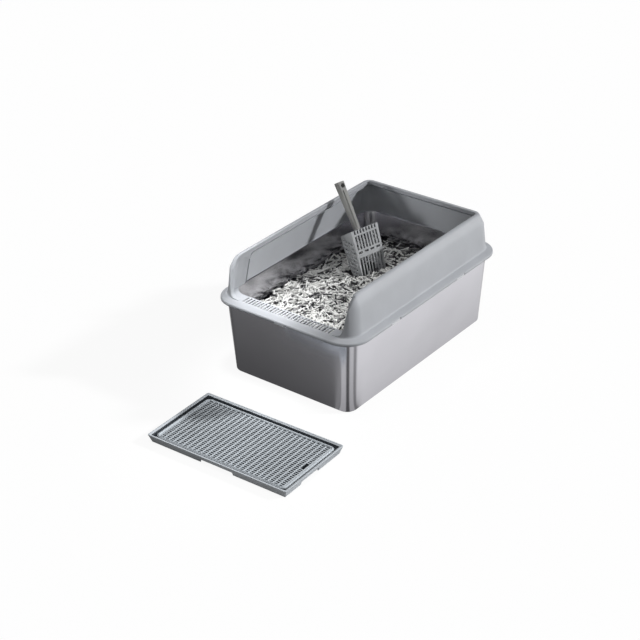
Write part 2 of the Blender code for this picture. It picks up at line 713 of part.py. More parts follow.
def mat_grid(surface):
    """Flat grid with a beaded border, a finger hole and rows of small openings"""
    half_x, half_y = (half - TRAY_FLOOR_INSET - GRID_EDGE for half in TRAY_HALF)
    xs = grid_lines(half_x, GRID_BORDERS[0], GRID_COLUMNS, GRID_RIB)
    ys = grid_lines(half_y, GRID_BORDERS[1], GRID_ROWS, GRID_BAR)
    low = TRAY_FLOOR + GAP
    levels = (low, low + GRID_THICK)
    count = len(xs) * len(ys)
    vertices = [(x, y, z) for z in levels for y in ys for x in xs]
    solid = {(i, j) for i in range(len(xs) - 1) for j in range(len(ys) - 1) if i % 2 == 0 or j % 2 == 0}
    faces = []
    for i, j in sorted(solid):
        a = j * len(xs) + i
        ring = [a, a + 1, a + 1 + len(xs), a + len(xs)]
        faces += [tuple(reversed(ring)), tuple(k + count for k in ring)]
        for k, beside in enumerate(((i, j - 1), (i + 1, j), (i, j + 1), (i - 1, j))):
            if beside not in solid:
                first, second = ring[k], ring[(k + 1) % len(ring)]
                faces.append((first, second, second + count, first + count))
    grid = make("mat_grid", vertices, faces)
    shape = loft("shape", [even_outline(half_x - GAP, half_y - GAP, GRID_RADIUS, z)
                           for z in (low - OVERRUN, low + GRID_THICK + OVERRUN)])
    combine(grid, [shape], "INTERSECT")
    top = low + GRID_THICK
    inner = GRID_BEAD_WIDTH + GRID_BEAD_INSET
    bead = loft("bead", [even_outline(half_x - inset, half_y - inset, GRID_RADIUS - inset * BEAD_TURN_SHARE, z)
                         for inset, z in ((GRID_BEAD_INSET, top - GRID_BEAD), (GRID_BEAD_INSET, top + GRID_BEAD),
                                          (inner, top + GRID_BEAD), (inner, top - GRID_BEAD))], loop=True)
    combine(grid, [bead], "UNION")
    at = half_x - FINGER_IN
    finger = box("finger", (at - FINGER_WIDTH / 2, -FINGER_LENGTH / 2, low - OVERRUN),
                 (at + FINGER_WIDTH / 2, FINGER_LENGTH / 2, top + OVERRUN))
    combine(grid, [finger], "DIFFERENCE")
    grid.data.materials.clear()
    grid.data.materials.append(surface)
    return place(grid, MAT_AT, MAT_TURN)


def build():
    """All pieces"""
    for old in list(bpy.data.objects):
        bpy.data.objects.remove(old)
    plastic = material("enclosure_plastic", (0.43, 0.45, 0.48), 0.0, 0.45)
    mat = material("mat_plastic", (0.40, 0.42, 0.44), 0.0, 0.5)
    steel_tub(material("stainless_steel", (0.62, 0.62, 0.64), 1.0, 0.3))
    enclosure(plastic)
    latches(plastic)
    litter_bed(material("litter_pellets", (0.62, 0.61, 0.60), 0.0, 0.9))
    scoop_head(material("scoop_plastic", (0.36, 0.37, 0.38), 0.0, 0.5))
    scoop_handle(material("handle_plastic", (0.30, 0.30, 0.29), 0.0, 0.45))
    mat_tray(mat)
    mat_grid(material("grid_plastic", (0.48, 0.50, 0.52), 0.0, 0.5))


build()
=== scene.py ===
"""Looks of the litter box set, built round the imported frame.

Metres. Z is up, the entrance faces -Y and the origin is the middle of the tub's underside.
"""

import math
import random

import bmesh
import bpy
from bmesh.types import BMEdge, BMFace, BMVert
from mathutils import Matrix, Vector


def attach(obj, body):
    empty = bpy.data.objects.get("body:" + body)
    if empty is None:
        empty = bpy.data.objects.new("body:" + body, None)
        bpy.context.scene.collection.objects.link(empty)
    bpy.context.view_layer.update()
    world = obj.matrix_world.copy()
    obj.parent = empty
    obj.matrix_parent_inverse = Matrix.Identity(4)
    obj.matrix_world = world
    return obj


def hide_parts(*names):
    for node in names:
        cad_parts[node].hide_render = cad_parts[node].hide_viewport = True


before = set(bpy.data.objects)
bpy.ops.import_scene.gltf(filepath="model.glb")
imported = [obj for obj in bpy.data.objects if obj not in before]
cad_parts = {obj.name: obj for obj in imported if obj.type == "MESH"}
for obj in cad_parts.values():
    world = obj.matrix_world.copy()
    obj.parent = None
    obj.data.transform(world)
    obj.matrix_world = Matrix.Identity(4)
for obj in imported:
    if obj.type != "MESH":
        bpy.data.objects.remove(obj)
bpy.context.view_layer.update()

# Shared
CORNER_STEPS = 16
ROUND_STEPS = 6
SMALL_STEPS = 4
FINE_STEPS = 3
MERGE = 1e-7
CUT = 0.004  # how far a cutter passes a face
GAP = 0.0003  # what touching pieces keep between them
SEED = 7

# Camera
CAMERA_AZIMUTH = 38.0326
CAMERA_ELEVATION = 29.5674
CAMERA_ROLL = -1.0189
CAMERA_DISTANCE = 3.7332
CAMERA_TARGET = (-0.0347, -0.1093, 0.100)
CAMERA_LENS = 90.655
CAMERA_SENSOR = 36
CAMERA_FAR = 50

# Finishes, in levels from 0 to 255
CLOUD_LIMITS = (0.3, 0.7)  # the part of a noise that is used
MOULD_TONE = 0.04  # how far the clouding goes to either side of a moulding's colour
MOULD_SHEEN = (-0.04, 0.05)  # how far the grain takes its roughness down and up
# The latches' lighter colour is a painted highlight
MOULDINGS = {"grey_moulding": ((181, 184, 189), 0.42), "latch_painted_highlight": ((222, 225, 229), 0.36),
             "scoop_moulding": ((176, 178, 180), 0.40), "handle_moulding": ((146, 146, 144), 0.40),
             # the mat's dark pan finish is painted shade on its ledge, pan and steep inner wall
             "mat_moulding": ((205, 211, 217), 0.45), "mat_pan_painted_shade": ((58, 63, 69), 0.50),
             "grid_moulding": ((206, 213, 219), 0.45)}  # colour and roughness
STEEL_TONES = ((218, 217, 223), (225, 224, 230))
STEEL_ROUGHNESS = (0.15, 0.21)
# The litter underlayer's near-black colour is painted shade in the gaps between the pellets
FIBRES = {"litter_painted_shade": ((16, 16, 18), (40, 40, 42)), "white_fibre": ((232, 232, 230), (250, 250, 248)),
          "pale_fibre": ((190, 190, 188), (222, 222, 220)),
          "grey_fibre": ((110, 110, 112), (160, 160, 160)),
          "dark_fibre": ((40, 40, 42), (80, 80, 82))}  # darker and lighter colour
FIBRE_ROUGHNESS = 0.75

# Steel tub. An outline is a half width, a half length and a corner radius
TUB_TAPER_HEIGHT = 0.183
TUB_FOOT = (0.1695, 0.2705, 0.026)
TUB_HEAD = (0.18125, 0.2811, 0.031)
TUB_WALL = 0.001
TUB_FOOT_ROUND = 0.004
RIM_TOP = 0.1942
RIM_ROUND = 0.0025
RIM_REACH = 0.0042
BEAD_RADIUS = 0.002
BEAD_ARC = (150, 300, 12)  # start, sweep and steps

# Enclosure's flange, shelf and sill
FLANGE = (0.2012, 0.300, 0.0594)  # outer edge
FLANGE_TOP = 0.193
FLANGE_ROUND = 0.004
SKIRT_BOTTOM = 0.1853
SKIRT_THICK = 0.0025
SKIRT_HAUNCH = (0.0045, 0.1905)  # inset and height of the thicker part under the flange
SKIRT_HAUNCH_FOOT = 0.1885
SKIRT_EDGE_ROUND = 0.0012
SHELF_THICK = 0.0025
SHELF_FALL_INSET = 0.0110  # where the shelf falls to the flange, above and below
SHELF_UNDER_INSET = 0.0092
SHELF_INNER = (0.1799, 0.2785, 0.0373)
SILL_TOP = 0.197
SILL_EDGE_ROUND = 0.0008
SILL_INNER = (-0.253, 0.045)  # place and corner radius of the sill's inner edge
SLOTS = (29, 0.0086, 0.0045, 0.023, -0.2685)  # count, pitch, width, length and middle

# Enclosure's wall
WALL_LEVELS = (0.194, 0.2612, 0.2876)
WALL_OUTLINES = ((0.1842, 0.2830, 0.0416), (0.1781, 0.2769, 0.038), (0.16625, 0.2599, 0.019))
WALL_THIN = 0.003
WALL_FOOT = 0.1955
WALL_FILLET = (0.003, 0.006)  # reach and rise
CREASE_SHARE = 0.8
LIP = 0.010
LIP_ROUNDS = (0.003, 0.002)  # outer and inner edge
BAND = 0.0139  # height of the thick band under the lip
BAND_LEAN_SHARE = 0.75
BAND_LOW_SHARE = 0.4
LEDGE_FALL = 0.0004
LOW_EDGE = 0.012  # a wall lower than this has smaller rounds
GROOVE = (0.0030, 0.0045, 0.0004)  # width, depth and the edge left below it
PANEL_FRONT_Y = -0.203
PANEL_BACK_Y = 0.236
PANEL_CORNER = 0.012
PANEL_STEP = 0.0005
EDGE_FALL_SIDE = ((-0.236, 0.2861), (-0.228, 0.2872), (-0.218, 0.2876))  # place along the side and height
EDGE_FALL = ((0, 0.2850), (8, 0.2830), (20, 0.2806), (31, 0.2770), (41, 0.2705), (47, 0.2630), (53, 0.2510),
             (58, 0.2395), (65.6, 0.2180), (70, 0.2090), (76, 0.2030), (83, 0.1998))  # angle and height
EDGE_STEPS = 36
TAIL = (0.131, 0.1976)  # the wall's end on the sill: place across and height

# Latches
LATCH_LENGTH = 0.029
LATCH_TOP = 0.1895
LATCH_SIDE_Y = (-0.139, 0.119)
NOTCH = (0.0062, 0.0007, 0.0005)  # depth, head and side clearance
WINDOW = (0.0045, 0.0042, 0.0035)  # length, height and depth of the opening beside each latch

# Litter
LITTER_LEVEL = 0.131
LITTER_HEAP = (-0.03, 0.01, 0.16, 0.010)  # place, spread and height
LITTER_HEAP_BASE = 0.004
LITTER_MOUND = (-0.03, 0.095, 0.05, 0.015)
LITTER_DIP = (-0.17, 0.07, 0.05, -0.007)
LITTER_LUMP = (0.003, 0.046, 0.4)  # height, pitch and skew
LITTER_CLEAR = 0.0015
LITTER_UNDER = 0.008  # how far the dark underlayer, painted shade between the pellets, lies below the surface
LITTER_RING_SHARES = (1, 0.96, 0.9, 0.82, 0.72, 0.6, 0.48, 0.36, 0.24, 0.12)
PELLETS = (("pellets_white", "white_fibre"), ("pellets_pale", "pale_fibre"), ("pellets_grey", "grey_fibre"),
           ("pellets_dark", "dark_fibre"))
PELLET_SHARES = (0.62, 0.77, 0.87, 1.0)  # of the four above, added up
PELLET_COUNT = 5900
PELLET_LENGTH = (0.018, 0.028)
PELLET_WIDTH = (0.0031, 0.0040)
PELLET_LIFT = (-0.0085, 0.0035)
PELLET_TILT = 0.10
PELLET_SIDES = 7
PELLET_MARGIN = 0.0035
PELLET_BACK_SHADE = (0.11, 0.25, 0.55)  # painted shade towards the back: where darker ones begin, where they are most, and their share
PELLET_REDRAW = 97  # times a draw, the part after the point is a draw of its own
PELLET_SCOOP_CLEAR = (-0.03, 0.004)  # behind the scoop's heel, and outside its other walls

# Scoop, in its own axes: x forwards and z up from the bend between heel and plate
SCOOP_AT = (-0.0624, 0.1025, 0.2466)
SCOOP_TURN = -12.36
SCOOP_THICK = 0.0022
SCOOP_FOLD = (0.0212, -0.0565)
SCOOP_TIP = (0.0455, -0.141)
SCOOP_TIP_BACK = (0.020, -0.139)
SCOOP_SIDE_BACK = (-0.009, -0.100)
SCOOP_HEEL_BACK = (-0.040, -0.026)
SCOOP_HALF_TOP = 0.0415
SCOOP_HALF_TIP = 0.0365
SCOOP_HOLLOW_OVERRUN_SHARE = 0.2
SCOOP_EDGE_ROUND = (0.0005, 2)  # radius and steps
# Slots above the fold, ovals there and slots below it: count, width and both ends as shares of the plate
SCOOP_SLOTS = (8, 0.0050, (0.235, 0.80))
SCOOP_OVALS = (4, 0.0125, (0.875, 0.955))
SCOOP_LOW_SLOTS = (8, 0.0062, (0.08, 0.86))
SCOOP_SLOT_SPAN_SHARE = 0.86
SCOOP_TEETH = (-0.0140, 0.009, -0.0098)  # back, front and bottom of the gaps at the heel
SCOOP_SIDE_HOLES = (8, -0.033, 0.0105, 0.0065, 0.0046, 0.0036)  # rows, top, pitch, width, height and rib
SCOOP_SIDE_BACK_SHARE = 1.5  # the rib behind the side holes against the others
SCOOP_SIDE_CUT = 0.06

# Scoop's handle
HANDLE_LENGTH = 0.121
HANDLE_HALF = ((0.0066, 0.0072), (0.0088, 0.0102))  # half thickness and width at the foot and the end
HANDLE_ROUND = (0.0032, 0.0016)  # edges along it and at its ends
HANDLE_RING_SHARES = (0.25, 0.5, 0.75)
HANDLE_FOOT_SHARE = 0.62
HANDLE_GROOVE = (0.004, -0.0030, 0.0030, 0.0020)  # start, place across, width and depth
HANDLE_HOLE = (0.0056, 0.0105, 0.0016)  # radius, distance from the end and place across
HANDLE_HOLE_CUT = (0.04, 32)  # length and steps of its cutter

# Mat
MAT_AT = (0.0637, -0.5037, 0.0)
MAT_TURN = 1.6
TRAY_HALF = (0.187, 0.1035)
TRAY_RADIUS = 0.004
TRAY_HEIGHT = 0.019
TRAY_FLARE = 0.0066
TRAY_WALL = 0.0022
TRAY_RIM = 0.0034
TRAY_EDGE_ROUND = 0.0006
TRAY_SHOULDER = (0.0066, 0.0170)  # inset and height where the rim turns down
TRAY_FLOOR = 0.0106
TRAY_FLOOR_INSET = 0.0095
TRAY_PAN = (0.0165, 0.004, 0.0005)  # inset, floor and draft
TRAY_GAPS = (0.088, 0.062, -0.012)  # under the long and the short sides, and where along the short
GRID_EDGE = 0.0025
GRID_THICK = 0.003
GRID_RADIUS = 0.012
GRID_BORDERS = (0.010, 0.006)
GRID_COUNTS = (26, 28)
GRID_BARS = (0.0028, 0.0021)
GRID_BAR_THICK = 0.0016
GRID_RIB_RISE = 0.0006
GRID_BEAD = (0.002, 0.003, 0.0016)  # inset, width and height
GRID_LAP = 0.002  # how far the ribs reach into the border
GRID_LIFT = 0.0001
GRID_INNER_RADIUS = 0.0006
GRID_DIGITS = 6  # to which two faces lie at the same place
FINGER = (-0.0125, 0.009)  # the hole's ends along the last column

# Floor, and cards on it that only polished faces show, by the angle round the tub's front right corner
FLOOR_HALF = 6
FLOOR_LEVEL = -0.0002
FLOOR_WHITE = 0.92
FLOOR_SHADOWED = 0.10
FLOOR_DULL = 0.24
CARD_MIDDLE = (0.146, -0.247)
CARDS = ((-180, 0.13), (-145, 0.17), (-127, 0.19), (-123, 0.38), (-114, 0.38), (-110, 0.28), (-105, 0.67),
         (-66, 0.67), (-59, 0.14), (-41, 0.14), (-33, 0.66), (-4, 0.66), (6, 0.31), (22, 0.33), (36, 0.78),
         (50, 1.0), (90, 1.0), (130, 0.50), (180, 0.40))
CARD_GAIN = 1.2
CARD_FADE = (0.0, 0.28, 0.52)  # brightness grows over this distance from the tub, from this share

# Lamps from afar: name, direction, power, softness, and whether for highlights or for the rest
SUNS = (("key", (1, 0.85, 0.72), 2.6, 5, False), ("gleam", (0.70, 0.70, 0.09), 0.5, 5, True))
# Small lamps: name, place, aim, power, cone, softness of its edge and size
SPOTS = (("front", (-0.06, -0.30, 1.10), (-0.055, -0.225, 0.16), 54, 23, 0.9, 0.12),
         ("back", (-0.35, -0.90, 0.42), (-0.02, 0.26, 0.26), 25, 17, 1.0, 0.12),
         ("litter", (-0.20, -0.15, 1.10), (0.05, 0.06, 0.13), 11, 24, 1.0, 0.12),
         ("mat", (0.06, -0.62, 1.20), (0.06, -0.50, 0.01), 16, 26, 0.8, 0.20))
SKY = (0.07, 0.70, 0.72, 0.95)  # low part, top, and where the top begins and is full
SKY_RIGHT = (-0.2, 0.16)  # where the right begins to be brighter, and by how much it ends

random.seed(SEED)


# Finishes
def linear(value):
    """Linear light of an sRGB level from 0 to 255"""
    share = value / 255
    return share / 12.92 if share <= 0.04045 else ((share + 0.055) / 1.055) ** 2.4


def grey(red, green, blue):
    """A colour from sRGB levels"""
    return (linear(red), linear(green), linear(blue), 1)


class Nodes:
    """A node tree under construction, where an input takes a number, a colour or a socket"""

    def __init__(self, tree):
        self.nodes = tree.nodes
        self.links = tree.links

    def feed(self, entry, value):
        """An input set to a value or joined to a socket"""
        if isinstance(value, bpy.types.NodeSocket):
            self.links.new(value, entry)
        else:
            entry.default_value = value

    def node(self, kind, inputs=None, **settings):
        """A node with its settings, and its inputs by name or number"""
        made = self.nodes.new(kind)
        for name, value in settings.items():
            setattr(made, name, value)
        for name, value in (inputs or {}).items():
            self.feed(made.inputs[name], value)
        return made

    def maths(self, operation, *values):
        """A sum"""
        return self.node("ShaderNodeMath", dict(enumerate(values)), operation=operation).outputs[0]

    def cloud(self, size, detail, rough=0.5, stretch=(1, 1, 1)):
        """Noise on Object coordinates"""
        where = self.node("ShaderNodeTexCoord").outputs["Object"]
        mapping = self.node("ShaderNodeMapping", {"Vector": where, "Scale": stretch})
        inputs = {"Vector": mapping.outputs["Vector"], "Scale": size, "Detail": detail, "Roughness": rough}
        return self.node("ShaderNodeTexNoise", inputs).outputs["Fac"]

    def spread(self, value, low, high, limits=CLOUD_LIMITS, kind="LINEAR"):
        """A value between limits brought between two others"""
        begins, ends = limits
        inputs = {"Value": value, "From Min": begins, "From Max": ends, "To Min": low, "To Max": high}
        return self.node("ShaderNodeMapRange", inputs, interpolation_type=kind).outputs["Result"]

    def colours(self, value, stops):
        """A colour ramp"""
        ramp = self.node("ShaderNodeValToRGB", {"Fac": value})
        elements = ramp.color_ramp.elements
        while len(elements) < len(stops):
            elements.new(0.5)
        for element, (position, colour) in zip(elements, stops):
            element.position = position
            element.color = colour
        return ramp.outputs["Color"]

    def either(self, share, first, second):
        """One shader or the other, by a share"""
        return self.node("ShaderNodeMixShader", {0: share, 1: first, 2: second}).outputs[0]


class Finish(Nodes):
    """A material under construction"""

    def __init__(self, name):
        self.made = bpy.data.materials.new(name)
        self.made.use_nodes = True
        super().__init__(self.made.node_tree)
        self.shader = self.nodes["Principled BSDF"]

    def shade(self, name, value):
        """One of the shader's inputs"""
        self.feed(self.shader.inputs[name], value)

    def mottle(self, cloud, dark, light):
        """The shader's colour, between two by a cloud"""
        begins, ends = CLOUD_LIMITS
        self.shade("Base Color", self.colours(cloud, ((begins, dark), (ends, light))))

    def bump(self, height, strength, distance):
        """Bump into the shader's normal"""
        inputs = {"Height": height, "Strength": strength, "Distance": distance}
        self.shade("Normal", self.node("ShaderNodeBump", inputs).outputs["Normal"])


def moulded(name):
    """Moulded plastic with a fine spark-eroded grain and faint clouding"""
    levels, roughness = MOULDINGS[name]
    red, green, blue, alpha = grey(*levels)
    finish = Finish(name)
    dark, light = ((red * share, green * share, blue * share, alpha)
                   for share in (1 - MOULD_TONE, 1 + MOULD_TONE))
    finish.mottle(finish.cloud(size=14, detail=4), dark, light)
    grain = finish.cloud(size=1500, detail=2)
    finish.shade("Roughness", finish.spread(grain, *(roughness + change for change in MOULD_SHEEN)))
    finish.bump(grain, strength=0.12, distance=0.0003)
    return finish.made


def brushed_steel(name):
    """Drawn satin sheet with a faint horizontal brush"""
    finish = Finish(name)
    finish.shade("Metallic", 1)
    dark, light = (grey(*tone) for tone in STEEL_TONES)
    finish.mottle(finish.cloud(size=6, detail=2, stretch=(1, 1, 1.6)), dark, light)
    brush = finish.cloud(size=1, detail=3, rough=0.6, stretch=(3, 3, 1400))
    finish.shade("Roughness", finish.spread(brush, *STEEL_ROUGHNESS))
    finish.bump(brush, strength=0.04, distance=0.0001)
    return finish.made


def fibre(name):
    """Pressed fibre with a mottled surface"""
    finish = Finish(name)
    dark, light = (grey(*tone) for tone in FIBRES[name])
    finish.mottle(finish.cloud(size=55, detail=2), dark, light)
    finish.shade("Roughness", FIBRE_ROUGHNESS)
    finish.bump(finish.cloud(size=900, detail=4), strength=0.5, distance=0.0006)
    return finish.made


# Meshes and pieces
def only(kind, items):
    """The items of one kind"""
    return [item for item in items if isinstance(item, kind)]


def turned(degrees, size=4):
    """A turn about Z"""
    return Matrix.Rotation(math.radians(degrees), size, "Z")


def arc(steps, start=0, end=90):
    """Angles along an arc, in radians"""
    return [math.radians(start + (end - start) * step / steps) for step in range(steps + 1)]


def edges_of(verts):
    """The edges at some vertices, each once and always in the same order"""
    return list(dict.fromkeys(edge for vert in verts for edge in vert.link_edges))


def in_scene(name, data):
    """An object for a mesh, a lamp or the camera"""
    made = bpy.data.objects.new(name, data)
    bpy.context.collection.objects.link(made)
    return made


def loose(work, name):
    """An object from a bmesh, with its normals out, that isn't dressed yet"""
    bmesh.ops.recalc_face_normals(work, faces=work.faces)
    mesh = bpy.data.meshes.new(name)
    work.to_mesh(mesh)
    work.free()
    return in_scene(name, mesh)


def dressed(piece, material, body, angle=35):
    """Material, shading that is smooth where round, and body of a piece"""
    piece.data.materials.clear()
    piece.data.materials.append(material)
    for face in piece.data.polygons:
        face.use_smooth = True
    piece.data.set_sharp_from_angle(angle=math.radians(angle))
    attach(piece, body)
    return piece


def baked(piece):
    """Modifiers applied into the mesh"""
    bpy.context.view_layer.update()
    graph = bpy.context.evaluated_depsgraph_get()
    mesh = bpy.data.meshes.new_from_object(piece.evaluated_get(graph))
    piece.modifiers.clear()
    piece.data = mesh


def carve(piece, tool, operation="DIFFERENCE"):
    """Boolean, applied, with the tool removed"""
    step = piece.modifiers.new("carve", "BOOLEAN")
    step.operation = operation
    step.solver = "EXACT"
    step.object = tool
    baked(piece)
    bpy.data.objects.remove(tool)


def set_down(piece, place, turn):
    """Turns and moves a piece to its place, in its mesh"""
    piece.data.transform(Matrix.Translation(place) @ turned(turn))


def block(work, low, high, round_edges=0, axis=2):
    """A box between two corners, with the edges along one axis rounded

    It gives the box's vertices, where no edge is rounded.
    """
    verts = bmesh.ops.create_cube(work, size=1)["verts"]
    size = [b - a for a, b in zip(low, high)]
    middle = [(a + b) / 2 for a, b in zip(low, high)]
    bmesh.ops.scale(work, vec=size, verts=verts)
    bmesh.ops.translate(work, vec=middle, verts=verts)
    if not round_edges:
        return verts
    along = [e for e in edges_of(verts) if abs((e.verts[0].co - e.verts[1].co)[axis]) > size[axis] / 2]
    bmesh.ops.bevel(work, geom=along, offset=round_edges, offset_type="OFFSET", segments=SMALL_STEPS,
                    profile=0.5, affect="EDGES", material=-1, clamp_overlap=True)
    return []


def even(half_x, half_y, radius, z):
    """Ring about the middle: half width, front, back, front radius, back radius and height"""
    return (half_x, -half_y, half_y, radius, radius, z)


def ring_point(values, number):
    """A numbered point of a rounded rectangle, counted round from the +X side"""
    half_x, front, back, front_radius, back_radius, z = values
    quarter, step = divmod(number, CORNER_STEPS + 1)
    angle = math.radians(90 * (quarter + step / CORNER_STEPS))
    radius = back_radius if quarter < 2 else front_radius
    side = 1 if quarter in (0, 3) else -1
    middle_x = side * (half_x - radius)
    middle_y = back - radius if quarter < 2 else front + radius
    return Vector((middle_x + radius * math.cos(angle), middle_y + radius * math.sin(angle), z))


def loft(work, rings, closed=False):
    """Skin over rounded rectangles: a loop extruded from ring to ring, capped or joined to its start"""
    count = 4 * (CORNER_STEPS + 1)
    verts = bmesh.ops.create_circle(work, segments=count, radius=1)["verts"]
    verts.sort(key=lambda vert: math.atan2(vert.co.y, vert.co.x))
    number = {vert: k for k, vert in enumerate(verts)}
    for vert in verts:
        vert.co = ring_point(rings[0], number[vert])
    first = edges = edges_of(verts)
    skin = list(verts)
    for values in rings[1:] + (rings[:1] if closed else []):
        made = bmesh.ops.extrude_edge_only(work, edges=edges)["geom"]
        edges = only(BMEdge, made)
        fresh = {}
        for vert in only(BMVert, made):
            others = [edge.other_vert(vert) for edge in vert.link_edges]
            fresh[vert] = next(number[old] for old in others if old in number)
        for vert, place in fresh.items():
            vert.co = ring_point(values, place)
        skin += fresh
        number = fresh
    if closed:
        bmesh.ops.remove_doubles(work, verts=skin, dist=MERGE)
    else:
        for end in (first, edges):
            bmesh.ops.contextual_create(work, geom=end)


# Steel tub
def tub_size(z, inset):
    """The tub's half width, half length and corner radius at a height, moved in"""
    share = z / TUB_TAPER_HEIGHT
    return [foot + (head - foot) * share - inset for foot, head in zip(TUB_FOOT, TUB_HEAD)]


def tub_ring(z, inset):
    """The tub's outline at a height, moved in"""
    return even(*tub_size(z, inset), z)


def foot_rings(radius, lift, inset):
    """Rings round the tub's foot, from flat to upright"""
    return [tub_ring(lift + radius * (1 - math.cos(a)), inset + radius * (1 - math.sin(a)))
            for a in arc(ROUND_STEPS)]


def rim_bend(radius):
    """Rings of the bend from upright to the rim"""
    bend_z = RIM_TOP - TUB_WALL - RIM_ROUND
    return [tub_ring(bend_z + radius * math.sin(a), radius * math.cos(a) - RIM_ROUND)
            for a in arc(ROUND_STEPS)]


def steel_tub(material):
    """Drawn shell with a rounded foot and a beaded rim"""
    start, sweep, steps = BEAD_ARC
    rings = foot_rings(TUB_FOOT_ROUND, 0, 0) + rim_bend(RIM_ROUND)[:-1]
    for angle in arc(steps, start, start + sweep):
        rings.append(tub_ring(RIM_TOP - BEAD_RADIUS + BEAD_RADIUS * math.sin(angle),
                              -RIM_REACH - BEAD_RADIUS * math.cos(angle)))
    rings += reversed(rim_bend(RIM_ROUND + TUB_WALL))
    rings += reversed(foot_rings(TUB_FOOT_ROUND - TUB_WALL, TUB_WALL, TUB_WALL))
    work = bmesh.new()
    loft(work, rings)
    piece = dressed(loose(work, "tub_shell"), material, "tub")
    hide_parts("steel_tub")


# Enclosure
def flange_ring(inset, z):
    """The flange's outline moved in"""
    half_x, half_y, radius = FLANGE
    return even(half_x - inset, half_y - inset, radius - inset, z)


def sill_ring(grow, z):
    """The shelf's inner outline with the sill reaching in at the front"""
    half_x, back, radius = SHELF_INNER
    front, front_radius = SILL_INNER
    return (half_x - grow, front + grow, back - grow, front_radius - grow, radius - grow, z)


def flange():
    """Skirt, flange top, shelf and sill"""
    edge = SKIRT_EDGE_ROUND
    rings = [flange_ring(SKIRT_THICK / 2, SKIRT_BOTTOM), flange_ring(edge, SKIRT_BOTTOM)]
    rings += [flange_ring(edge * (1 - math.sin(a)), SKIRT_BOTTOM + edge * (1 - math.cos(a)))
              for a in arc(FINE_STEPS)[1:]]
    rings += [flange_ring(FLANGE_ROUND * (1 - math.cos(a)), FLANGE_TOP - FLANGE_ROUND * (1 - math.sin(a)))
              for a in arc(ROUND_STEPS)]
    lip = SILL_EDGE_ROUND
    under = SILL_TOP - SHELF_THICK
    rings += [flange_ring(SHELF_FALL_INSET, SILL_TOP)]
    rings += [sill_ring(-lip + lip * math.sin(a), SILL_TOP - lip + lip * math.cos(a))
              for a in arc(FINE_STEPS)]
    rings += [sill_ring(-lip + lip * math.cos(a), under + lip - lip * math.sin(a))
              for a in arc(FINE_STEPS)]
    rings += [flange_ring(SHELF_UNDER_INSET, under), flange_ring(*SKIRT_HAUNCH)]
    rings += [flange_ring(SKIRT_THICK, SKIRT_HAUNCH_FOOT), flange_ring(SKIRT_THICK, SKIRT_BOTTOM + edge)]
    rings += [flange_ring(SKIRT_THICK - edge, SKIRT_BOTTOM)]
    work = bmesh.new()
    loft(work, rings, closed=True)
    return loose(work, "enclosure_shell")


def edge_height(angle):
    """Height of the wall's edge at an angle round its front corner, straight between the named places"""
    for (a, low), (b, high) in zip(EDGE_FALL, EDGE_FALL[1:]):
        if angle <= b:
            break
    return low + (high - low) * (angle - a) / (b - a)


def wall_size(z):
    """Half width, half length and corner radius of the wall's outside at a height"""
    for low, high, below, above in zip(WALL_LEVELS, WALL_LEVELS[1:], WALL_OUTLINES, WALL_OUTLINES[1:]):
        if z <= high:
            break
    share = (z - low) / (high - low)
    return [first + (second - first) * share for first, second in zip(below, above)]


def wall_point(kind, side, value, z, inset):
    """A point of the wall at a station"""
    half_x, half_y, radius = (size - inset for size in wall_size(z))
    if kind == "front":
        return Vector((side * value, -half_y, z))
    if kind == "side":
        return Vector((side * half_x, value, z))
    angle = math.radians(value)
    along_x = half_x - radius + radius * math.cos(angle)
    along_y = half_y - radius + radius * math.sin(angle)
    return Vector((side * along_x, along_y if kind == "back turn" else -along_y, z))


def wall_stations():
    """Stations of one half, from the entrance to the back, with what wall_section takes after the side"""
    full = WALL_LEVELS[-1]
    last = EDGE_FALL[-1][0]
    half = [("front", *TAIL, None)]
    for step in range(EDGE_STEPS, -1, -1):
        angle = last * step / EDGE_STEPS
        half.append(("front turn", angle, edge_height(angle), None))
    half += [("side", y, height, None) for y, height in EDGE_FALL_SIDE]
    width, depth, edge = GROOVE
    top = full - BAND
    for away, cut in ((edge + width + edge, 0), (edge + width, depth), (edge, depth), (0, 0)):
        half.append(("side", PANEL_FRONT_Y - away, full, None, cut, PANEL_CORNER))
    for angle in arc(ROUND_STEPS):
        y = PANEL_FRONT_Y + PANEL_STEP + PANEL_CORNER * (1 - math.cos(angle))
        half.append(("side", y, full, top - PANEL_CORNER * (1 - math.sin(angle))))
    half.append(("side", PANEL_BACK_Y, full, top))
    half += [("back turn", 90 * step / CORNER_STEPS, full, top) for step in range(CORNER_STEPS + 1)]
    return half


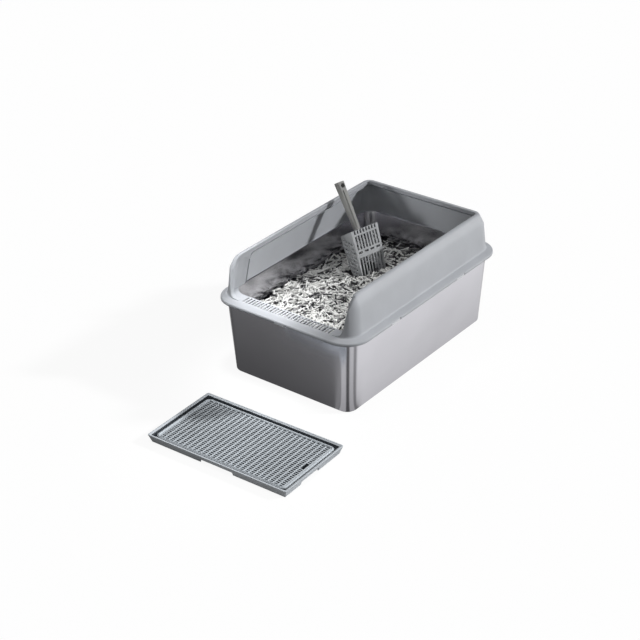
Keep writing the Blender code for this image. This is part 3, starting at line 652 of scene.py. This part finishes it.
def wall_section(side, kind, value, top, recess, cut=0, lower=0):
    """Closed section of the wall, up its outside, over the lip and down its inside

    It lies at a value along its kind of station. A recess is the height at which a panel ends, or None
    for the plain band. A cut deepens the inside, and the band reaches lower by the last value.
    """
    height = top - WALL_FOOT
    small = min(1, height / LOW_EDGE)
    outer, inner = (size * small for size in LIP_ROUNDS)
    reach, rise = (size * small for size in WALL_FILLET)
    width, depth, edge = (size * small for size in GROOVE)
    shelf = min(SILL_TOP, WALL_FOOT + height * BAND_LOW_SHARE)
    rounded = min(shelf + rise, shelf + (top - outer - shelf) / 2)
    crease = min(WALL_LEVELS[1], rounded + (top - outer - rounded) * CREASE_SHARE)
    band = recess or max(top - BAND, WALL_FOOT + height * BAND_LOW_SHARE) - lower
    lean = (wall_size(band)[0] - wall_size(top)[0]) * BAND_LEAN_SHARE
    inside = LIP + lean
    groove = depth if recess else 0
    slant = lean * (edge + width) / max(top - inner - band, edge)
    rows = [(-reach, WALL_FOOT)]
    rows += [(-reach * (1 - math.sin(a)), shelf + (rounded - shelf) * (1 - math.cos(a)))
             for a in arc(SMALL_STEPS)]
    rows += [(0, crease)]
    rows += [(outer * (1 - math.cos(a)), top - outer * (1 - math.sin(a))) for a in arc(SMALL_STEPS)]
    rows += [(LIP - inner * (1 - math.sin(a)), top - inner * (1 - math.cos(a))) for a in arc(FINE_STEPS)]
    rows += [(inside - slant, band + edge + width),
             (inside - slant - groove, band + edge + width - edge / 2),
             (inside - groove, band + edge + edge / 2),
             (inside, band + edge),
             (inside - cut, band),
             ((WALL_THIN if recess else inside) - cut, band - LEDGE_FALL * small),
             ((WALL_THIN if recess else LIP) - cut, WALL_FOOT)]
    return [wall_point(kind, side, value, z, inset) for inset, z in rows]


def wall():
    """The splash wall: its section extruded from one side of the entrance round the back to the other"""
    half = wall_stations()
    stations = [(1, *values) for values in half] + [(-1, *values) for values in reversed(half)]
    work = bmesh.new()
    end = work.faces.new([work.verts.new(point) for point in wall_section(*stations[0])])
    for station in stations[1:]:
        made = bmesh.ops.extrude_face_region(work, geom=[end])["geom"]
        if station is not stations[1]:
            bmesh.ops.delete(work, geom=[end], context="FACES_ONLY")
        end = only(BMFace, made)[0]
        for vert, point in zip(end.verts, wall_section(*station)):
            vert.co = point
    return loose(work, "wall")


def sill_slots():
    """Litter slots in the sill"""
    work = bmesh.new()
    count, pitch, width, length, middle = SLOTS
    for k in range(count):
        x = pitch * (k - (count - 1) / 2)
        block(work, (x - width / 2, middle - length / 2, SILL_TOP - SHELF_THICK - CUT),
              (x + width / 2, middle + length / 2, SILL_TOP + CUT), round_edges=width / 3)
    return loose(work, "cuts")


def latch_places():
    """Turn about Z, distance of the skirt from the middle and place along it"""
    half_x, half_y = FLANGE[:2]
    front_y, rear_y = LATCH_SIDE_Y
    return [(0, half_x, front_y), (0, half_x, rear_y), (180, half_x, -front_y), (180, half_x, -rear_y),
            (-90, half_y, 0), (90, half_y, 0)]


def at_latches(start, end, low, high, deep):
    """A cut through the skirt at each latch: from start to end along it, between two heights"""
    work = bmesh.new()
    for turn, reach, along in latch_places():
        verts = block(work, (reach - deep, along + start, low), (reach + CUT, along + end, high))
        bmesh.ops.rotate(work, verts=verts, cent=(0, 0, 0), matrix=turned(turn, 3))
    return loose(work, "cuts")


def enclosure(material):
    """Flange, sill and wall in one moulding"""
    piece = flange()
    carve(piece, wall(), "UNION")
    carve(piece, sill_slots())
    notch_deep, head, clear = NOTCH
    length, height, window_deep = WINDOW
    half = LATCH_LENGTH / 2 + clear
    top = LATCH_TOP + head
    carve(piece, at_latches(-half, half, SKIRT_BOTTOM - CUT, top, notch_deep))
    carve(piece, at_latches(half - clear, half + length, top - height, top + head, window_deep))
    dressed(piece, material, "enclosure")
    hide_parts("enclosure")


def latches(material):
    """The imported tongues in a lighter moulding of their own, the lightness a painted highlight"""
    for name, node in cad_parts.items():
        if name.startswith("latch"):
            node.data.materials.clear()
            node.data.materials.append(material)


# Litter
def hump(x, y, values):
    """A round hump's height at a place"""
    at_x, at_y, spread, height = values
    return height * math.exp(-((x - at_x) ** 2 + (y - at_y) ** 2) / spread ** 2)


def litter_height(x, y):
    """Surface of the litter"""
    level = LITTER_LEVEL - LITTER_HEAP_BASE
    level += hump(x, y, LITTER_HEAP) + hump(x, y, LITTER_MOUND) + hump(x, y, LITTER_DIP)
    lump, pitch, skew = LITTER_LUMP
    turn = math.tau / pitch
    return level + lump * math.sin(turn * (x + skew * y)) * math.cos(turn * (y - skew * x))


def litter_base(material):
    """The filling's dark underlayer, painted shade between the pellets: rings that step up inwards to stay
    apart, then laid on its surface
    """
    clear = TUB_WALL + LITTER_CLEAR
    rings = foot_rings(TUB_FOOT_ROUND - TUB_WALL, clear, clear)
    for share in LITTER_RING_SHARES:
        outline = (size * share for size in tub_size(LITTER_LEVEL, clear))
        rings.append(even(*outline, LITTER_LEVEL + 1 - share))
    work = bmesh.new()
    loft(work, rings)
    cap = [face for face in work.faces
           if len(face.verts) > 4 and face.calc_center_median().z > LITTER_LEVEL]
    bmesh.ops.poke(work, faces=cap)
    for vert in work.verts:
        if vert.co.z > LITTER_LEVEL - GAP:
            vert.co.z = litter_height(vert.co.x, vert.co.y) - LITTER_UNDER
    piece = dressed(loose(work, "litter_underlayer"), material, "tub")
    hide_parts("litter_bed")


def stick():
    """One pellet along X, a unit long and thick"""
    work = bmesh.new()
    bmesh.ops.create_cone(work, cap_ends=True, segments=PELLET_SIDES, radius1=0.5, radius2=0.5, depth=1,
                          matrix=Matrix.Rotation(math.radians(90), 4, "Y"))
    mesh = bpy.data.meshes.new("stick")
    work.to_mesh(mesh)
    work.free()
    return mesh


def inside_tub(x, y):
    """Whether a place lies clear of the tub's walls at the litter's level"""
    half_x, half_y, radius = tub_size(LITTER_LEVEL, TUB_WALL + PELLET_MARGIN)
    past_x = max(0, abs(x) - (half_x - radius))
    past_y = max(0, abs(y) - (half_y - radius))
    return math.hypot(past_x, past_y) < radius


def in_scoop(x, y, z):
    """Whether a place lies in the scoop or close to its walls"""
    local = turned(-SCOOP_TURN, 3) @ (Vector((x, y, z)) - Vector(SCOOP_AT))
    share = (local.z - SCOOP_FOLD[1]) / (SCOOP_TIP[1] - SCOOP_FOLD[1])
    front = SCOOP_FOLD[0] + (SCOOP_TIP[0] - SCOOP_FOLD[0]) * share
    back, clear = PELLET_SCOOP_CLEAR
    return abs(local.y) < SCOOP_HALF_TOP + clear and back < local.x < front + clear


def pellet_tone(pick, y):
    """Number of a pellet's tone from a draw, with more dark ones towards the back as painted shade"""
    begins, most, shade_share = PELLET_BACK_SHADE
    if pick * PELLET_REDRAW % 1 < shade_share * (y - begins) / (most - begins):
        pick = PELLET_SHARES[1] + pick * (1 - PELLET_SHARES[1])
    return next(k for k, share in enumerate(PELLET_SHARES) if pick <= share)


def pellets():
    """Loose stick pellets, one piece per tone"""
    single = stick()
    works = [bmesh.new() for tone in PELLETS]
    half_x, half_y = tub_size(LITTER_LEVEL, TUB_WALL)[:2]
    for number in range(PELLET_COUNT):
        x = random.uniform(-half_x, half_x)
        y = random.uniform(-half_y, half_y)
        length = random.uniform(*PELLET_LENGTH)
        width = random.uniform(*PELLET_WIDTH)
        lift = random.uniform(*PELLET_LIFT)
        turn = random.uniform(0, math.tau)
        tilt = random.gauss(0, PELLET_TILT)
        pick = random.random()
        reach_x, reach_y = math.cos(turn) * length / 2, math.sin(turn) * length / 2
        ends = [(x + side * reach_x, y + side * reach_y) for side in (-1, 1)]
        first, second = (litter_height(*end) for end in ends)
        z = (first + second) / 2 + lift
        in_wall = not all(inside_tub(*end) for end in ends)
        if in_wall or any(in_scoop(*place, z) for place in [(x, y), *ends]):
            continue
        slope = math.atan2(second - first, length) + tilt
        leaning = turned(math.degrees(turn)) @ Matrix.Rotation(-slope, 4, "Y")
        copy = single.copy()
        copy.transform(Matrix.Translation((x, y, z)) @ leaning @ Matrix.Diagonal((length, width, width, 1)))
        works[pellet_tone(pick, y)].from_mesh(copy)
        bpy.data.meshes.remove(copy)
    for work, (name, kind) in zip(works, PELLETS):
        dressed(loose(work, name), fibre(kind), "tub", angle=50)


# Scoop
def side_view(work, polygon, half_widths):
    """A side-view polygon extruded across y, each point with its own half width. Gives its vertices"""
    near = [work.verts.new((x, -half, z)) for (x, z), half in zip(polygon, half_widths)]
    made = bmesh.ops.extrude_face_region(work, geom=[work.faces.new(near)])["geom"]
    far = only(BMVert, made)
    for vert in far:
        vert.co.y = -vert.co.y
    return near + far


def scoop_half(z, inset=0):
    """Half width of the head at a height below its heel"""
    return SCOOP_HALF_TOP + (SCOOP_HALF_TIP - SCOOP_HALF_TOP) * z / SCOOP_TIP[1] - inset


def shifted(start, end, inset):
    """A side-view line moved to its right"""
    start, end = Vector(start), Vector(end)
    along = (end - start).normalized()
    across = Vector((along.y, -along.x))
    return start + across * inset, end + across * inset


def crossing(first, second):
    """Where two side-view lines meet"""
    (a, b), (c, d) = first, second
    u, v = b - a, d - c
    return a + u * (((c.x - a.x) * v.y - (c.y - a.y) * v.x) / (u.x * v.y - u.y * v.x))


def scoop_hollow():
    """What is taken out of the head"""
    back = shifted(SCOOP_HEEL_BACK, (0, 0), SCOOP_THICK)
    upper = shifted((0, 0), SCOOP_FOLD, SCOOP_THICK)
    lower = shifted(SCOOP_FOLD, SCOOP_TIP, SCOOP_THICK)
    tip = lower[1] + (lower[1] - lower[0]) * SCOOP_HOLLOW_OVERRUN_SHARE
    far_top = back[0] + (back[0] - back[1])
    corners = [crossing(back, upper), crossing(upper, lower), tip, Vector((far_top.x, tip.y)), far_top]
    work = bmesh.new()
    side_view(work, [tuple(c) for c in corners], [scoop_half(c.y, SCOOP_THICK) for c in corners])
    return loose(work, "hollow")


def plate_slots(work, start, end, count, width, shares):
    """A row of slots through a plate between two side-view points"""
    start, end = Vector(start), Vector(end)
    along = end - start
    across = Vector((-along.y, along.x)).normalized() * CUT
    low, high = (start + along * share for share in shares)
    side = [tuple(p) for p in (low + across, high + across, high - across, low - across)]
    span = 2 * SCOOP_HALF_TIP * SCOOP_SLOT_SPAN_SHARE + SCOOP_SLOTS[1]
    pitch = (span - width) / (count - 1)
    for k in range(count):
        verts = side_view(work, side, [width / 2] * len(side))
        bmesh.ops.translate(work, vec=(0, pitch * (k - (count - 1) / 2), 0), verts=verts)


def heel_gaps(work):
    """A row of gaps over the bend at the heel, in line with the slots"""
    count, width = SCOOP_SLOTS[:2]
    back, front, bottom = SCOOP_TEETH
    pitch = 2 * SCOOP_HALF_TIP * SCOOP_SLOT_SPAN_SHARE / (count - 1)
    for k in range(count):
        y = pitch * (k - (count - 1) / 2)
        block(work, (back, y - width / 2, bottom), (front, y + width / 2, CUT))


def edge_at(z, *points):
    """Where a broken line of side-view points passes a height"""
    for (x0, z0), (x1, z1) in zip(points, points[1:]):
        if z1 <= z <= z0:
            return x0 + (x1 - x0) * (z - z0) / (z1 - z0)
    return points[-1][0]


def side_holes(work):
    """Rows of small holes through both side walls"""
    rows, top, pitch, width, height, rib = SCOOP_SIDE_HOLES
    for k in range(rows):
        z = top - pitch * k
        front = edge_at(z, (0, 0), SCOOP_FOLD, SCOOP_TIP) - rib
        x = edge_at(z, SCOOP_HEEL_BACK, SCOOP_SIDE_BACK, SCOOP_TIP_BACK) + SCOOP_SIDE_BACK_SHARE * rib
        while x + width < front:
            low, high = (x, -SCOOP_SIDE_CUT, z - height / 2), (x + width, SCOOP_SIDE_CUT, z + height / 2)
            block(work, low, high, round_edges=height / 3, axis=1)
            x += width + rib


def scoop_head(material):
    """Deep slotted pan"""
    side = [(0, 0), SCOOP_FOLD, SCOOP_TIP, SCOOP_TIP_BACK, SCOOP_SIDE_BACK, SCOOP_HEEL_BACK]
    work = bmesh.new()
    side_view(work, side, [scoop_half(z) for x, z in side])
    head = loose(work, "scoop_pan")
    carve(head, scoop_hollow())
    work = bmesh.new()
    plate_slots(work, (0, 0), SCOOP_FOLD, *SCOOP_SLOTS)
    plate_slots(work, (0, 0), SCOOP_FOLD, *SCOOP_OVALS)
    plate_slots(work, SCOOP_FOLD, SCOOP_TIP, *SCOOP_LOW_SLOTS)
    carve(head, loose(work, "slots"))
    for cut in (heel_gaps, side_holes):
        work = bmesh.new()
        cut(work)
        carve(head, loose(work, "holes"))
    bevel = head.modifiers.new("edges", "BEVEL")
    bevel.width, bevel.segments = SCOOP_EDGE_ROUND
    bevel.limit_method = "ANGLE"
    baked(head)
    set_down(head, SCOOP_AT, SCOOP_TURN)
    dressed(head, material, "scoop")
    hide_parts("scoop_head")


def handle_frame():
    """Foot of the handle on the heel's back wall, and axes with the handle along z"""
    back = Vector(SCOOP_HEEL_BACK)
    along = -back.normalized()
    out = Vector((-along.y, along.x))
    foot = back * HANDLE_FOOT_SHARE + out * GAP
    return Matrix(((along.x, 0, out.x, foot.x), (0, 1, 0, 0), (along.y, 0, out.y, foot.y), (0, 0, 0, 1)))


def handle_bar():
    """Bar that widens from its foot to its end, with rounded edges"""
    rounded, end_round = HANDLE_ROUND
    ends = [(end_round * (1 - math.sin(a)), end_round * (1 - math.cos(a))) for a in arc(SMALL_STEPS)]
    levels = ends + [(0, HANDLE_LENGTH * share) for share in HANDLE_RING_SHARES]
    levels += [(inset, HANDLE_LENGTH - z) for inset, z in reversed(ends)]
    rings = []
    for inset, z in levels:
        thick, wide = (foot + (end - foot) * z / HANDLE_LENGTH - inset for foot, end in zip(*HANDLE_HALF))
        rings.append(even(thick, wide, rounded - inset, z))
    work = bmesh.new()
    loft(work, rings)
    return loose(work, "scoop_grip")


def scoop_handle(material):
    """The bar with a shallow channel and a hanging hole near its end"""
    bar = handle_bar()
    work = bmesh.new()
    radius, down, across = HANDLE_HOLE
    depth, steps = HANDLE_HOLE_CUT
    place = Matrix.Translation((0, across, HANDLE_LENGTH - down))
    bmesh.ops.create_cone(work, cap_ends=True, segments=steps, radius1=radius, radius2=radius, depth=depth,
                          matrix=place @ Matrix.Rotation(math.radians(90), 4, "Y"))
    start, at, width, depth = HANDLE_GROOVE
    foot_thick, end_thick = (thick for thick, wide in HANDLE_HALF)
    low = (foot_thick - depth, at - width / 2, start)
    high = (foot_thick + CUT, at + width / 2, HANDLE_LENGTH - down - 2 * radius)
    for vert in block(work, low, high):
        vert.co.x += (end_thick - foot_thick) * vert.co.z / HANDLE_LENGTH
    carve(bar, loose(work, "hole"))
    bar.data.transform(handle_frame())
    set_down(bar, SCOOP_AT, SCOOP_TURN)
    dressed(bar, material, "scoop")
    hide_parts("scoop_handle")


# Mat
def tray_ring(inset, z):
    """The tray's outline moved in"""
    half_x, half_y = TRAY_HALF
    return even(half_x - inset, half_y - inset, max(TRAY_RADIUS - inset / 2, TRAY_RADIUS / 2), z)


def tray_shell():
    """Tray with a flared rim, a ledge and a pan"""
    under = TRAY_FLOOR - TRAY_WALL
    pan, floor_z, draft = TRAY_PAN
    skirt_in, pan_out = TRAY_FLARE + TRAY_WALL, pan - TRAY_WALL
    edge = TRAY_EDGE_ROUND
    rings = [(pan_out + draft, floor_z - TRAY_WALL), (pan_out, under), (skirt_in, under), (skirt_in, 0),
             (TRAY_FLARE, 0), (edge / 3, TRAY_HEIGHT - edge), (edge, TRAY_HEIGHT),
             (TRAY_RIM - edge, TRAY_HEIGHT), (TRAY_RIM, TRAY_HEIGHT - edge), TRAY_SHOULDER,
             (TRAY_FLOOR_INSET - edge, TRAY_FLOOR + edge / 2), (TRAY_FLOOR_INSET, TRAY_FLOOR),
             (pan, TRAY_FLOOR), (pan + draft, floor_z)]
    work = bmesh.new()
    loft(work, [tray_ring(*values) for values in rings])
    tray = loose(work, "mat_pan")
    half_x, half_y = TRAY_HALF
    long_gap, short_gap, short_y = TRAY_GAPS
    reach = (skirt_in + pan_out) / 2
    work = bmesh.new()
    for side in (-1, 1):
        near, far = sorted((side * (half_y + CUT), side * (half_y - reach)))
        block(work, (-long_gap / 2, near, -CUT), (long_gap / 2, far, under))
        near, far = sorted((side * (half_x + CUT), side * (half_x - reach)))
        block(work, (near, short_y - short_gap / 2, -CUT), (far, short_y + short_gap / 2, under))
    carve(tray, loose(work, "gaps"))
    return tray


def paint_tray_shade(tray, inside):
    """Painted shade: a dark face for the tray's ledge and pan and for its steep inner wall, which are the
    same plastic as the rest
    """
    tray.data.materials.append(inside)
    half_x, half_y = TRAY_HALF
    square = turned(-MAT_TURN, 3)
    for face in tray.data.polygons:
        x, y, z = square @ (face.center - Vector(MAT_AT))
        from_edge = min(half_x - abs(x), half_y - abs(y))
        lying = face.normal.z > 0.5 and z < TRAY_FLOOR + GAP
        steep = TRAY_FLOOR < z < TRAY_SHOULDER[1] and from_edge > TRAY_SHOULDER[0]
        if lying or steep:
            face.material_index = 1


def mat_tray(material, inside):
    """Litter-catching tray, with its skirt raised in the middle of each side"""
    tray = tray_shell()
    set_down(tray, MAT_AT, MAT_TURN)
    dressed(tray, material, "mat", angle=20)
    # The ledge, pan and steep inner wall get a dark finish as painted shade
    paint_tray_shade(tray, inside)
    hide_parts("mat_tray")


def grid_lines(half, border, count, rib):
    """Edges across the lattice: openings with ribs between, and a lap into the border at both ends"""
    pitch = (2 * (half - border) + rib) / count
    edges = []
    for k in range(count):
        start = border - half + pitch * k
        edges += [start, start + pitch - rib]
    return [edges[0] - GRID_LAP, *edges, edges[-1] + GRID_LAP]


def face_place(face):
    """Where a face lies seen from above, to be compared"""
    return tuple(round(value, GRID_DIGITS) for value in face.calc_center_median().xy)


def lattice(work, xs, ys, top):
    """Crossing bars with openings and a finger hole, and the ribs one way a little higher"""
    columns, rows = len(xs) - 1, len(ys) - 1
    bmesh.ops.create_grid(work, x_segments=columns, y_segments=rows, size=1)
    cells = {}
    for face in work.faces:
        middle = face.calc_center_median()
        cells[face] = (int((middle.x + 1) / 2 * columns), int((middle.y + 1) / 2 * rows))
    for vert in work.verts:
        column, row = round((vert.co.x + 1) / 2 * columns), round((vert.co.y + 1) / 2 * rows)
        vert.co = (xs[column], ys[row], top - GRID_BAR_THICK)
    ribs = {face_place(face) for face, (i, j) in cells.items() if i % 2 == 0}
    open_cells = [face for face, (i, j) in cells.items()
                  if i % 2 and (j % 2 or (i == columns - 2 and FINGER[0] < ys[j] < FINGER[1]))]
    bmesh.ops.delete(work, geom=open_cells, context="FACES")
    bmesh.ops.delete(work, geom=[v for v in work.verts if not v.link_faces], context="VERTS")
    made = bmesh.ops.extrude_face_region(work, geom=list(work.faces), use_keep_orig=True)["geom"]
    bmesh.ops.translate(work, vec=(0, 0, GRID_BAR_THICK - GRID_RIB_RISE), verts=only(BMVert, made))
    raised = [face for face in only(BMFace, made) if face_place(face) in ribs]
    made = bmesh.ops.extrude_face_region(work, geom=raised)["geom"]
    bmesh.ops.delete(work, geom=raised, context="FACES")
    bmesh.ops.translate(work, vec=(0, 0, GRID_RIB_RISE), verts=only(BMVert, made))


def mat_grid(material):
    """Lift-out grid: the lattice in a beaded border"""
    half_x, half_y = (half - TRAY_FLOOR_INSET - GRID_EDGE for half in TRAY_HALF)
    low = TRAY_FLOOR + GAP
    top = low + GRID_THICK
    work = bmesh.new()
    xs, ys = (grid_lines(*values) for values in zip((half_x, half_y), GRID_BORDERS, GRID_COUNTS, GRID_BARS))
    lattice(work, xs, ys, top)
    side, end = GRID_BORDERS
    inset, width, height = GRID_BEAD
    rings = [even(half_x, half_y, GRID_RADIUS, low), even(half_x, half_y, GRID_RADIUS, top)]
    for angle in arc(ROUND_STEPS, 0, 180):
        away = inset + width / 2 - width / 2 * math.cos(angle)
        rings.append(even(half_x - away, half_y - away, GRID_RADIUS - away, top + height * math.sin(angle)))
    rings += [even(half_x - side, half_y - end, GRID_INNER_RADIUS, z) for z in (top + GRID_LIFT, low)]
    loft(work, rings, closed=True)
    grid = loose(work, "mat_lattice")
    set_down(grid, MAT_AT, MAT_TURN)
    dressed(grid, material, "grid", angle=30)
    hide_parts("mat_grid")


# Stage
def camera():
    """The camera at the photograph's angle"""
    azimuth, elevation, roll = (math.radians(a) for a in (CAMERA_AZIMUTH, CAMERA_ELEVATION, CAMERA_ROLL))
    level = math.cos(elevation)
    back = Vector((math.sin(azimuth) * level, -math.cos(azimuth) * level, math.sin(elevation)))
    right = (-back).cross(Vector((0, 0, 1))).normalized()
    up = right.cross(-back)
    right, up = right * math.cos(roll) + up * math.sin(roll), up * math.cos(roll) - right * math.sin(roll)
    data = bpy.data.cameras.new("camera")
    data.lens = CAMERA_LENS
    data.sensor_width = CAMERA_SENSOR
    data.clip_end = CAMERA_FAR
    made = in_scene("camera", data)
    rows = Matrix((right, up, back)).transposed().to_4x4()
    made.matrix_world = Matrix.Translation(Vector(CAMERA_TARGET) + back * CAMERA_DISTANCE) @ rows
    bpy.context.scene.camera = made


def card_level(finish):
    """Brightness of the cards at a place on the floor"""
    where = finish.node("ShaderNodeTexCoord").outputs["Object"]
    away = finish.node("ShaderNodeVectorMath", {0: where, 1: (*CARD_MIDDLE, 0)}, operation="SUBTRACT")
    x, y = finish.node("ShaderNodeSeparateXYZ", {0: away.outputs["Vector"]}).outputs[:2]
    turn = finish.spread(finish.maths("ARCTAN2", y, x), 0, 1, (-math.pi, math.pi))
    card = finish.colours(turn, [((angle + 180) / 360, (level, level, level, 1)) for angle, level in CARDS])
    sides = ((x, 1, TUB_FOOT[0] - CARD_MIDDLE[0]), (y, -1, TUB_FOOT[1] + CARD_MIDDLE[1]))
    past = [finish.maths("MULTIPLY_ADD", along, sign, -edge) for along, sign, edge in sides]
    near, far, least = CARD_FADE
    fade = finish.spread(finish.maths("MAXIMUM", *past), least * CARD_GAIN, CARD_GAIN, (near, far))
    return finish.maths("MULTIPLY", card, fade)


def floor():
    """A pale floor: white to the camera with a faint shadow, cards for polished faces, dull for the rest"""
    finish = Finish("floor")
    path = finish.node("ShaderNodeLightPath").outputs
    shadowed, dull = (finish.node("ShaderNodeBsdfDiffuse", {"Color": (level, level, level, 1)}).outputs[0]
                      for level in (FLOOR_SHADOWED, FLOOR_DULL))
    white, cards = (finish.node("ShaderNodeEmission", {"Strength": strength}).outputs[0]
                    for strength in (FLOOR_WHITE, card_level(finish)))
    pale = finish.node("ShaderNodeAddShader", {0: shadowed, 1: white}).outputs[0]
    others = finish.either(path["Is Glossy Ray"], dull, cards)
    seen = finish.either(path["Is Camera Ray"], others, pale)
    finish.feed(finish.nodes["Material Output"].inputs["Surface"], seen)
    work = bmesh.new()
    bmesh.ops.create_grid(work, x_segments=1, y_segments=1, size=FLOOR_HALF)
    piece = loose(work, "floor")
    piece.data.materials.append(finish.made)
    piece.location.z = FLOOR_LEVEL


def lamp(name, kind, direction, power, glossy, diffuse):
    """A lamp that shines from a direction, for highlights, for the rest or for both"""
    data = bpy.data.lights.new(name, kind)
    data.energy = power
    made = in_scene(name, data)
    made.rotation_euler = Vector(direction).to_track_quat("Z", "Y").to_euler()
    made.visible_glossy = glossy
    made.visible_diffuse = diffuse
    return made


def lamps():
    """A low key from the right and behind, a lower one for highlights, and four small soft spots"""
    for name, direction, power, soft, highlights in SUNS:
        made = lamp(name, "SUN", direction, power, glossy=highlights, diffuse=not highlights)
        made.data.angle = math.radians(soft)
    for name, place, aim, power, cone, blend, size in SPOTS:
        made = lamp(name, "SPOT", Vector(place) - Vector(aim), power, glossy=False, diffuse=True)
        made.location = place
        made.data.spot_size = math.radians(cone)
        made.data.spot_blend = blend
        made.data.shadow_soft_size = size


def studio():
    """A dim room with a bright top and a brighter right side, white to the camera"""
    world = bpy.data.worlds.new("studio")
    bpy.context.scene.world = world
    world.use_nodes = True
    room = Nodes(world.node_tree)
    where = room.node("ShaderNodeTexCoord").outputs["Generated"]
    x, y, z = room.node("ShaderNodeSeparateXYZ", {0: where}).outputs
    low, high, begins, full = SKY
    overhead = room.spread(z, low, high, (begins, full), "SMOOTHSTEP")
    right_begins, right_full = SKY_RIGHT
    right = room.spread(x, 0, right_full, (right_begins, 1))
    sky = room.nodes["Background"]
    room.feed(sky.inputs["Color"], (1, 1, 1, 1))
    room.feed(sky.inputs["Strength"], room.maths("ADD", overhead, right))
    white = room.node("ShaderNodeBackground", {"Color": (1, 1, 1, 1)}).outputs[0]
    to_camera = room.node("ShaderNodeLightPath").outputs["Is Camera Ray"]
    room.feed(room.nodes["World Output"].inputs["Surface"], room.either(to_camera, sky.outputs[0], white))


def pieces():
    """All pieces of the set"""
    steel_tub(brushed_steel("brushed_sheet"))
    enclosure(moulded("grey_moulding"))
    latches(moulded("latch_painted_highlight"))
    litter_base(fibre("litter_painted_shade"))
    pellets()
    scoop_head(moulded("scoop_moulding"))
    scoop_handle(moulded("handle_moulding"))
    # The second finish of the tray is painted shade for its inside
    mat_tray(moulded("mat_moulding"), moulded("mat_pan_painted_shade"))
    mat_grid(moulded("grid_moulding"))


camera()
pieces()
lamps()
studio()
floor()
view = bpy.context.scene.view_settings
view.view_transform = "Standard"
